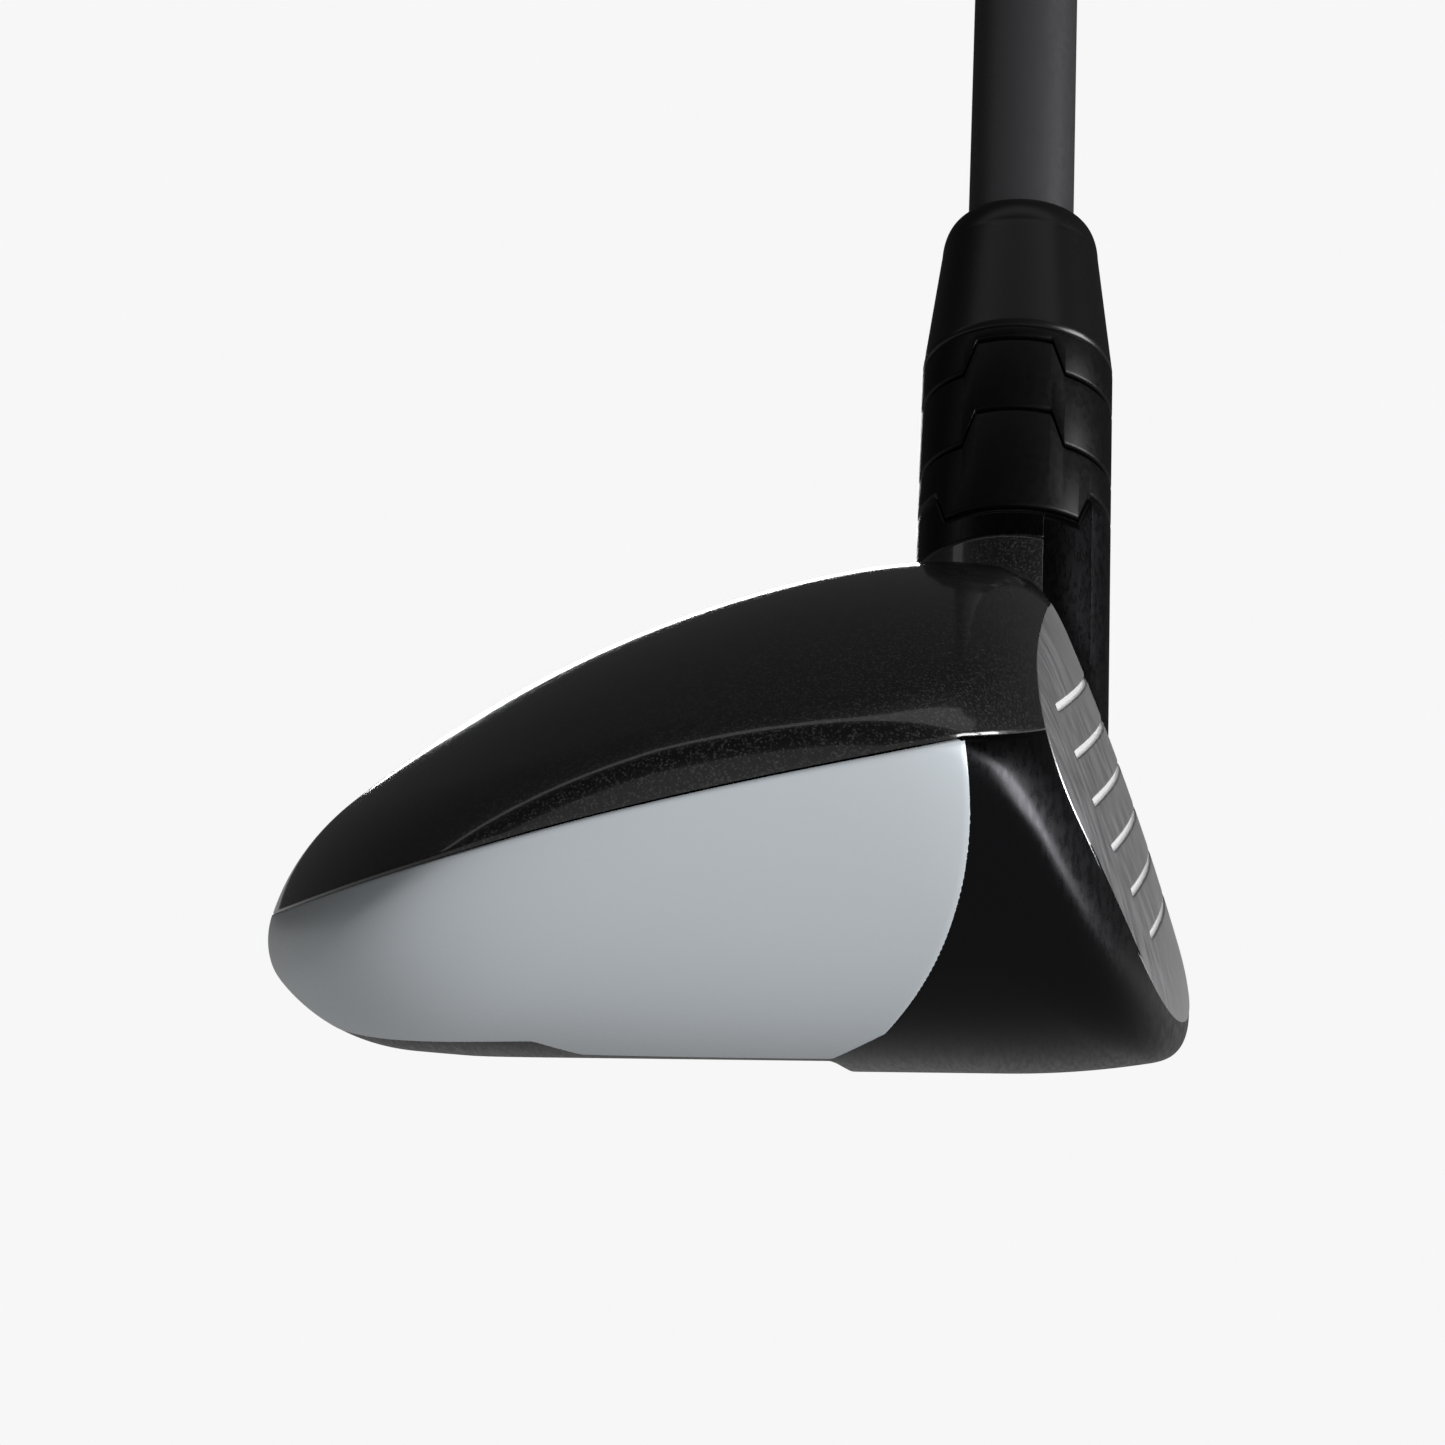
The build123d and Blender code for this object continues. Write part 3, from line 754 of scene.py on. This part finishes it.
def rise_where(turn, beyond):
    """Upward angle, at each turn, at which beyond(point) changes from false to true."""
    low = np.full(turn.shape, math.radians(-62.0))
    high = np.full(turn.shape, math.radians(60.0))
    return halving(low, high, lambda rise: beyond(panel_ray(turn, rise)))


PANEL_ROWS = 90
PANEL_COLUMNS = 420
turn_table = np.radians(np.linspace(-52.0, -285.0, 460))
low_table = rise_where(turn_table, lambda p: p[..., 2] > panel_bottom(p[..., 0]))
high_table = rise_where(turn_table, lambda p: p[..., 2] > parting_height(p[..., 0]))


def panel_point(turn, share):
    """Point of the panel, share of the way from its lower edge to its upper edge."""
    low = np.interp(-turn, -turn_table, low_table)
    high = np.interp(-turn, -turn_table, high_table)
    return panel_ray(turn, low + (high - low) * share)


def panel_end(share, start, end, beyond):
    """Turn, in each row, at which the panel ends."""
    low = np.full(share.shape, math.radians(start))
    high = np.full(share.shape, math.radians(end))
    return halving(low, high, lambda turn: beyond(panel_point(turn, share)))


share = np.linspace(0.004, 0.996, PANEL_ROWS)
toe_end = panel_end(share, -53.0, -150.0, lambda p: p[..., 0] < panel_front(p[..., 2]))
heel_end = panel_end(share, -200.0, -284.0, lambda p: p[..., 0] > PANEL_HEEL_X)
across = np.linspace(0, 1, PANEL_COLUMNS)
turns = toe_end[:, None] + (heel_end - toe_end)[:, None] * across
panel_net = panel_point(turns, np.repeat(share[:, None], PANEL_COLUMNS, axis=1))
LIP = 0.16                    # the outermost rows and columns turn down by this much
PANEL_PROUD = 0.03            # the whole panel stands this far out of the head's form
edge_row = np.minimum(np.arange(PANEL_ROWS), np.arange(PANEL_ROWS)[::-1])
edge_column = np.minimum(np.arange(PANEL_COLUMNS), np.arange(PANEL_COLUMNS)[::-1])
lip = LIP * ((edge_row[:, None] == 0) | (edge_column[None, :] == 0))
panel_net = panel_net - unit(panel_net - PANEL_CENTRE) * lip[..., None]
panel_net += unit(panel_net - PANEL_CENTRE) * PANEL_PROUD
panel = skin("panel_skin", panel_net, panel_grey, INNER, 0.9, sharp=60.0)
stand_for(panel, "skirt_panel", "head")

# The face, in rows along the grooves.
ROW_START = -4.0              # the rows are measured both ways from here


def face_limit(up, way):
    def outside(reach):
        return beyond_face(way * reach + ROW_START, up) > 0
    return way * first_crossing(outside, 0.0, 48.0, up.shape, 70) + ROW_START


def face_end(way):
    """Height of the face's top or bottom edge, at the side where it is furthest out."""
    sides = np.linspace(-36.0, 26.0, 240)
    return way * np.max(first_crossing(
        lambda reach: beyond_face(sides, way * reach) > 0, 2.0, 30.0, sides.shape, 60
    ))


EDGE_BAND = 3.0               # the rows crowd together this near the top and bottom edges
GROOVE_ROWS = (0.40, 0.31, 0.27, 0.22, 0.08)   # rows on each side of a groove's middle
GROOVE_FLANK = (0.21, 0.32)   # a groove's side, from its floor to the face
GROOVE_RUN_OUT = 0.7          # length over which a groove's end rises to the face
HIGHLIGHT_HALF = 0.25             # half the width of the painted highlight in a groove
HIGHLIGHT_SHORT = 0.3             # the painted highlight ends this far before the groove does
face_low, face_high = face_end(-1.0), face_end(1.0)
crowded = [EDGE_BAND * (1 - math.cos(angle)) for angle in quarter_turn(40)[1:]]
levels = [face_low + step for step in crowded] + [face_high - step for step in crowded]
levels += list(np.linspace(face_low + EDGE_BAND, face_high - EDGE_BAND, 60))
centres = [GROOVE_LOWEST + GROOVE_PITCH * i for i in range(len(GROOVE_HALVES))]
for centre in centres:
    levels = [v for v in levels if abs(v - centre) > GROOVE_WIDTH / 2 + 0.14]
    for offset in GROOVE_ROWS:
        levels += [centre - offset, centre + offset]
levels = np.array(sorted(set(levels)))
low_side, high_side = face_limit(levels, -1.0), face_limit(levels, 1.0)
FACE_COLUMNS = 150
share = np.linspace(0, 1, FACE_COLUMNS)
side = low_side[:, None] + (high_side - low_side)[:, None] * share
up = np.repeat(levels[:, None], FACE_COLUMNS, axis=1)
flat = face_point(side, up)
rim = np.maximum(-rim_field(flat[..., 0], flat[..., 1], flat[..., 2]), 0.0)
drop = np.maximum(EDGE_BLEND - rim, 0.0) ** 2 / (4 * EDGE_BLEND)
for centre, half in zip(centres, GROOVE_HALVES):
    inside = 1 - smooth_share(np.abs(up - centre), *GROOVE_FLANK)
    run_out = np.clip((half - np.abs(side)) / GROOVE_RUN_OUT, 0.0, 1.0)
    drop = drop + GROOVE_DEPTH * inside * run_out
face = skin("face_skin", face_point(side, up, drop), face_steel, INNER, 1.2, sharp=80.0)
across_face = np.array([v.center[:] for v in face.data.polygons]) / MM - FACE_CENTRE
height_on_face = across_face @ FACE_UP
# Faces along the middle of each groove get the light grey of the painted highlight.
painted_highlight = np.zeros(len(height_on_face), dtype=bool)
for centre, half in zip(centres, GROOVE_HALVES):
    in_length = np.abs(across_face[:, 1]) < half - HIGHLIGHT_SHORT
    painted_highlight |= (np.abs(height_on_face - centre) < HIGHLIGHT_HALF) & in_length
face.data.materials.append(groove_highlight)
face.data.polygons.foreach_set("material_index", painted_highlight.astype(np.int32))
stand_for(face, "face_plate", "head")

# ---- hosel: the fillet that joins it to the head, and the tube ------------------------------
HOSEL_CENTRE_HEIGHT = 24.0
HOSEL_CENTRE = SHAFT_DIR * HOSEL_CENTRE_HEIGHT
FILLET = 7.5
hosel_top = socket_line(BOTTOM_SEAM, -SEAM_GAP / 2)
LOBE_TOP = 38.7               # the crown's lacquer ends here on the toe side of the hosel
LOBE_TURNS = (math.radians(-100.0), math.radians(20.0))


def hosel_ray(turn, rise):
    """Point of the hosel or its fillet, turn round the shaft from the toe side."""
    around = np.cos(turn)[..., None] * TOE_SIDE + np.sin(turn)[..., None] * FRONT_SIDE
    direction = np.cos(rise)[..., None] * around + np.sin(rise)[..., None] * SHAFT_DIR
    return cast(HOSEL_CENTRE, direction, heel_field, 45.0)


def rise_to(height, radius=HOSEL_R):
    """Upward angle of a ray from the hosel's centre to a height and radius."""
    return np.arctan2(height - HOSEL_CENTRE_HEIGHT, radius)


def clear_of_hosel(point):
    return hosel_field(point[..., 0], point[..., 1], point[..., 2]) > FILLET - 0.02


HOSEL_COLUMNS = 540
hosel_turn = np.linspace(-math.pi, math.pi, HOSEL_COLUMNS)
top_rise = rise_to(hosel_top(HOSEL_R * np.sin(hosel_turn)) - RIM)
port_rise = np.full(HOSEL_COLUMNS, rise_to(PORT_END, PORT_R + 0.15))


def descent(share):
    """Upward angle in each column, at a share of the way from the mouth down to the port."""
    return top_rise + (port_rise - top_rise) * share


# Where, in each column, the fillet runs out into the head.
DESCENT_STEPS = 200
found = np.zeros(HOSEL_COLUMNS, dtype=bool)
last = np.ones(HOSEL_COLUMNS)
for step in np.linspace(0, 1, DESCENT_STEPS):
    hit = clear_of_hosel(hosel_ray(hosel_turn, descent(step))) & ~found
    last = np.where(hit, step, last)
    found |= hit
low, high = last - 1 / (DESCENT_STEPS - 1), last.copy()
for _ in range(16):
    middle = (low + high) / 2
    hit = clear_of_hosel(hosel_ray(hosel_turn, descent(middle)))
    high = np.where(hit & found, middle, high)
    low = np.where(hit & found, low, middle)
end_rise = np.where(found, descent(high), port_rise)

# The run of columns, on the toe side, in which it does so before the port.
middle_column = HOSEL_COLUMNS // 2
first = middle_column
while found[first - 1]:
    first -= 1
final = middle_column
while found[final + 1]:
    final += 1


def hosel_net(columns, start, end, count):
    """Net over some columns, between two upward angles, in count rows."""
    share = np.linspace(0, 1, count)[:, None]
    return hosel_ray(
        np.repeat(hosel_turn[columns][None, :], count, axis=0), start + (end - start) * share
    )


def lifted(points):
    """A hair outside the net of the head, so that the two skins never flicker."""
    return points + unit(points - HOSEL_CENTRE) * 0.015


toe_columns = np.arange(first, final + 1)
lobe_columns = toe_columns[
    (hosel_turn[toe_columns] > LOBE_TURNS[0]) & (hosel_turn[toe_columns] < LOBE_TURNS[1])
]
web_columns = np.arange(lobe_columns[-1], final + 1)
lobe_rise = np.full(len(lobe_columns), rise_to(LOBE_TOP))
heel_columns = np.concatenate([
    np.arange(final, HOSEL_COLUMNS - 1), np.arange(0, lobe_columns[0] + 1)
])
fillet_nets = [
    # name, columns, start, end, rows, node
    ("hosel_lobe", lobe_columns, lobe_rise, end_rise[lobe_columns], 110, "crown_shell"),
    ("hosel_neck", lobe_columns, top_rise[lobe_columns], lobe_rise, 14, "main_body"),
    ("hosel_front_web", web_columns, top_rise[web_columns], end_rise[web_columns], 120, "main_body"),
    ("hosel_heel", heel_columns, top_rise[heel_columns], port_rise[heel_columns], 170, "main_body"),
]
for name, columns, start, end, count, node in fillet_nets:
    net = hosel_net(columns, start, end, count)
    piece = skin(name, lifted(net), node_material[node], HOSEL_CENTRE, 0.5, sharp=60.0)
    stand_for(piece, node, "head")

# The inside of the hosel.
BORE_R = 6.3                  # of the hosel and the cogs
SEAT_HIGH = 20.0              # the seat that the hosel screw pulls against
SEAT_LOW = 18.0
SCREW_HOLE_R = 2.9
POCKET_R = 4.95               # pocket of the screw's head
POCKET_LOW = 13.4


def hosel_tube():
    """The bore, from the toothed mouth down to the wrench port."""
    mouth = [
        (HOSEL_R - 0.002 - inset, hosel_top, offset) for inset, offset in reversed(rim_steps(-1))
    ]
    bore = [
        (BORE_R, SEAT_HIGH), (SCREW_HOLE_R, SEAT_HIGH), (SCREW_HOLE_R, SEAT_LOW),
        (POCKET_R, SEAT_LOW), (POCKET_R, POCKET_LOW), (PORT_R, POCKET_LOW),
        (PORT_R, PORT_END + 0.1), (HOSEL_R - 1.0, PORT_END + 0.1),
    ]
    profile = [(HOSEL_R - 0.03, level_line(PORT_END + 1.5), 0.0)] + mouth
    profile.append((BORE_R, hosel_top, 0.0))
    profile += [(radius, level_line(height), 0.0) for radius, height in bore]
    return lined_turning("hosel_tube", profile, body_black)


stand_for(hosel_tube(), "main_body", "head")

# ---- cogs, collar, ferrule, shaft ------------------------------------------------------------
COLLAR_BORE_R = 6.0
lower_cog = toothed_ring(
    "lower_cog_ring_piece", socket_line(BOTTOM_SEAM, SEAM_GAP / 2),
    tooth_line(MIDDLE_SEAM, -SEAM_GAP / 2), HOSEL_R, BORE_R, cog_black,
)
stand_for(lower_cog, "lower_cog", "lower_cog")
upper_cog = toothed_ring(
    "upper_cog_ring_piece", tooth_line(MIDDLE_SEAM, SEAM_GAP / 2),
    tooth_line(TOP_SEAM, -SEAM_GAP / 2), HOSEL_R, BORE_R, cog_black,
)
stand_for(upper_cog, "upper_cog", "upper_cog")
collar = toothed_ring(
    "sleeve_collar", tooth_line(TOP_SEAM, SEAM_GAP / 2), level_line(COLLAR_TOP), HOSEL_R,
    COLLAR_BORE_R, sleeve_black,
)
stand_for(collar, "shaft_sleeve", "shaft_assembly")

SHAFT_TIP_R = 4.65
SLEEVE_R = 6.25
SLEEVE_LOW = 21.3
SLEEVE_HIGH = 58.0
SLEEVE_CHAMFER = 0.35
SCREW_BORE_R = 2.55
SHAFT_SEAT = 36.3             # the floor of the sleeve's bore, which the shaft stands on
sleeve = turned("sleeve_tube", [
    (SCREW_BORE_R, SLEEVE_LOW), (SLEEVE_R - SLEEVE_CHAMFER, SLEEVE_LOW),
    (SLEEVE_R, SLEEVE_LOW + SLEEVE_CHAMFER), (SLEEVE_R, SLEEVE_HIGH),
    (SHAFT_TIP_R + 0.01, SLEEVE_HIGH), (SHAFT_TIP_R + 0.01, SHAFT_SEAT),
    (SCREW_BORE_R, SHAFT_SEAT),
], sleeve_black)
stand_for(sleeve, "shaft_sleeve", "shaft_assembly")

FERRULE_TOP_R = 6.83
ROUND_START = FERRULE_TOP - 3.0   # from here up the ferrule rounds in to the shaft
rounded_top = [
    (SHAFT_TIP_R + 0.02 + (FERRULE_TOP_R - SHAFT_TIP_R) * math.cos(angle) ** 0.62,
     ROUND_START + 2.98 * math.sin(angle) ** 1.15)
    for angle in quarter_turn(24)
]
cone = stepped([
    (HOSEL_R - 0.25, COLLAR_TOP), (HOSEL_R - 0.02, COLLAR_TOP + 0.25),
    (FERRULE_TOP_R + 0.05, ROUND_START - 0.2),
], 0.5)
ferrule = turned("ferrule_cone", [(SHAFT_TIP_R + 0.01, COLLAR_TOP)] + cone + rounded_top,
                 ferrule_black, 240, 60.0)
stand_for(ferrule, "ferrule", "shaft_assembly")

SHAFT_END = 1014.0
TAPER_START = 120.0
BUTT_R = 7.6
BUTT_BORE_R = 6.7
TIP_BORE_R = 2.9
shaft = turned("shaft_tube", stepped([
    (TIP_BORE_R, SHAFT_SEAT + 0.02), (SHAFT_TIP_R, SHAFT_SEAT + 0.02),
    (SHAFT_TIP_R, TAPER_START), (BUTT_R, SHAFT_END), (BUTT_BORE_R, SHAFT_END),
    (TIP_BORE_R + 0.4, TAPER_START), (TIP_BORE_R, TAPER_START / 2),
], 12.0), shaft_grey, 160)
stand_for(shaft, "shaft", "shaft_assembly")

# ---- grip: round ribs near its ends, and a lattice of shallow grooves between ------------------
GRIP_START = 752.0
GRIP_END = SHAFT_END
GRIP_LOW_R = 9.04
GRIP_HIGH_R = 12.9
GRIP_BORE_LOW_R = 6.9
GRIP_BORE_HIGH_R = 7.76
GRIP_MOUTH = 3.0              # length of the rounded mouth
GRIP_ROWS = 620
GRIP_COLUMNS = 200
LATTICE_START = 790.0
LATTICE_END = 982.0
LATTICE_WAVES = 5             # round the grip; each gives two grooves in each slant
LATTICE_PITCH = 9.0
LATTICE_DEPTH = 0.32
RIB_BANDS = ((760.0, 780.0), (992.0, 1006.0))
RIB_PITCH = 4.0
RIB_DEPTH = 0.35


def fading(height, start, end, fade):
    """One from start to end, fading to nothing over fade mm before and after."""
    before = smooth_share(height, start - fade, start)
    return before * (1 - smooth_share(height, end, end + fade))


def grip_mesh():
    turn = np.linspace(0, 2 * math.pi, GRIP_COLUMNS, endpoint=False)
    mouth_end = GRIP_START + GRIP_MOUTH
    t, h = np.meshgrid(turn, np.linspace(mouth_end, GRIP_END, GRIP_ROWS))
    surface = GRIP_LOW_R + (GRIP_HIGH_R - GRIP_LOW_R) * (h - mouth_end) / (GRIP_END - mouth_end)
    climb = (h - 800) * math.pi / LATTICE_PITCH
    one = np.abs(np.sin(LATTICE_WAVES * t + climb))
    two = np.abs(np.sin(LATTICE_WAVES * t - climb))
    lattice = 1 - smooth_share(np.minimum(one, two), 0.08, 0.26)
    surface = surface - LATTICE_DEPTH * lattice * fading(h, LATTICE_START, LATTICE_END, 4.0)
    ribs = 1 - smooth_share(np.abs((h % RIB_PITCH) - RIB_PITCH / 2), 0.35, 0.8)
    for start, end in RIB_BANDS:
        surface = surface - RIB_DEPTH * ribs * fading(h, start, end, 2.0)
    mouth = [
        (GRIP_BORE_LOW_R, GRIP_START), (GRIP_LOW_R - 0.55, GRIP_START),
        (GRIP_LOW_R - 0.15, GRIP_START + 0.8),
    ]
    butt = (GRIP_BORE_HIGH_R, GRIP_END)
    radius = np.vstack([np.full(GRIP_COLUMNS, r) for r, _ in mouth] + [surface]
                       + [np.full(GRIP_COLUMNS, butt[0])])
    along = np.vstack([np.full(GRIP_COLUMNS, s) for _, s in mouth] + [h]
                      + [np.full(GRIP_COLUMNS, butt[1])])
    turns = np.repeat(turn[None, :], len(radius), axis=0)
    return closed_turning("grip_sleeve", radius, along, turns, grip_rubber, 60.0)


stand_for(grip_mesh(), "grip", "shaft_assembly")

# The cap, from the edge of its vent hole out, round its rim and back in over a shallow ring.
CAP_HEIGHT = 6.0
VENT_R = 1.5
CAP_FLANGE = 1.36             # how far the rim stands out from the grip
CAP_ROLL = 1.5
CAP_CROWN_R = 11.0            # where the rounding of the rim ends
CAP_RING = ((7.2, 0.15), (6.9, 0.5), (6.2, 0.5), (5.9, 0.1), (2.0, 0.0), (VENT_R, 0.4))
cap_profile = [(VENT_R, GRIP_END), (GRIP_HIGH_R, GRIP_END)]
cap_profile += [
    (GRIP_HIGH_R + CAP_FLANGE * math.sin(angle), GRIP_END + CAP_ROLL * (1 - math.cos(angle)))
    for angle in quarter_turn(6)
]
cap_profile += [
    (CAP_CROWN_R + (GRIP_HIGH_R + CAP_FLANGE - CAP_CROWN_R) * math.cos(angle) ** 1.3,
     GRIP_END + 2.5 + 3.1 * math.sin(angle) ** 1.3)
    for angle in quarter_turn(12)
]
cap_profile += [(radius, GRIP_END + CAP_HEIGHT - below) for radius, below in CAP_RING]
cap = turned("grip_end_cap", cap_profile, cap_rubber, 200, 50.0)
stand_for(cap, "grip_cap", "shaft_assembly")

# ---- floor, light, camera --------------------------------------------------------------------
FLOOR_HALF = 30.0             # metres, as are the next
FLOOR_DROP = 0.0004
DOME_R = 40.0


def pale_material(name):
    """An even near-white, so the stage has no shading of its own."""
    material = new_material(name, (0.0, 0.0, 0.0), 0.0, 1.0)
    shader = material.node_tree.nodes["Principled BSDF"]
    shader.inputs["Specular IOR Level"].default_value = 0.0
    shader.inputs["Emission Color"].default_value = (0.93, 0.93, 0.93, 1.0)
    shader.inputs["Emission Strength"].default_value = 1.0
    return material


floor_mesh = bpy.data.meshes.new("floor")
floor_mesh.from_pydata([
    (-FLOOR_HALF, -FLOOR_HALF, 0), (FLOOR_HALF, -FLOOR_HALF, 0),
    (FLOOR_HALF, FLOOR_HALF, 0), (-FLOOR_HALF, FLOOR_HALF, 0),
], [], [(0, 1, 2, 3)])
floor = bpy.data.objects.new("floor", floor_mesh)
bpy.context.collection.objects.link(floor)
floor.location.z = -FLOOR_DROP
floor.visible_glossy = False
floor_mesh.materials.append(pale_material("pale_floor"))

# A pale dome all round, which only the camera sees.
dome_mesh = bpy.data.meshes.new("backdrop")
dome_shape = bmesh.new()
bmesh.ops.create_uvsphere(dome_shape, u_segments=48, v_segments=24, radius=DOME_R)
dome_shape.to_mesh(dome_mesh)
dome_shape.free()
dome = bpy.data.objects.new("backdrop", dome_mesh)
bpy.context.collection.objects.link(dome)
dome_mesh.materials.append(pale_material("pale_backdrop"))
dome.visible_diffuse = dome.visible_glossy = False
dome.visible_transmission = dome.visible_shadow = False

scene = bpy.context.scene
world = bpy.data.worlds.new("studio")
world.use_nodes = True
world.node_tree.nodes["Background"].inputs["Color"].default_value = (1.0, 1.0, 1.0, 1.0)
world.node_tree.nodes["Background"].inputs["Strength"].default_value = 0.03
scene.world = world
scene.view_settings.view_transform = "Standard"


def area_light(name, position, target, width, height, power):
    data = bpy.data.lights.new(name, "AREA")
    data.shape = "RECTANGLE"
    data.size, data.size_y = width, height
    data.energy = power
    light = bpy.data.objects.new(name, data)
    bpy.context.collection.objects.link(light)
    light.location = position
    light.visible_camera = False
    look = Vector(target) - Vector(position)
    light.rotation_mode = "QUATERNION"
    light.rotation_quaternion = look.to_track_quat("-Z", "Y")
    return light


HEAD_MIDDLE = (-0.012, -0.036, 0.018)
area_light("top_softbox", (-0.60, -0.02, 0.80), (-0.60, -0.02, 0.0), 2.4, 0.20, 0.75)
toe_light = area_light("toe_softbox", (0.70, -0.80, 0.24), HEAD_MIDDLE, 0.55, 0.40, 28.0)
toe_light.visible_glossy = False
area_light("back_panel", (-0.16, 1.30, 0.05), (-0.02, 0.0, 0.03), 0.36, 0.10, 1.1)
area_light("face_softbox", (0.78, -0.12, 0.16), HEAD_MIDDLE, 0.30, 0.50, 7.2)
corner_strip = area_light("corner_strip", (0.80, -0.42, 0.12), HEAD_MIDDLE, 0.16, 0.50, 4.2)
corner_strip.visible_diffuse = False
# A card on the floor, which the dark glossy parts mirror.
floor_card = area_light(
    "floor_card", (0.0, -0.45, -FLOOR_DROP / 2), (0.0, -0.45, 1.0), 1.6, 1.5, 1.7
)
floor_card.visible_diffuse = False

camera_data = bpy.data.cameras.new("camera")
camera = bpy.data.objects.new("camera", camera_data)
bpy.context.collection.objects.link(camera)
camera_data.sensor_width = 36.0
camera_data.lens = 114.6
camera_data.clip_start, camera_data.clip_end = 0.01, 100.0
azimuth, elevation = math.radians(5.5), math.radians(3.2)
forward = Vector((-math.sin(azimuth) * math.cos(elevation),
                  math.cos(azimuth) * math.cos(elevation), -math.sin(elevation)))
camera.location = (0.01293, -0.37164, 0.04319)
camera.rotation_mode = "QUATERNION"
camera.rotation_quaternion = forward.to_track_quat("-Z", "Y")
scene.camera = camera
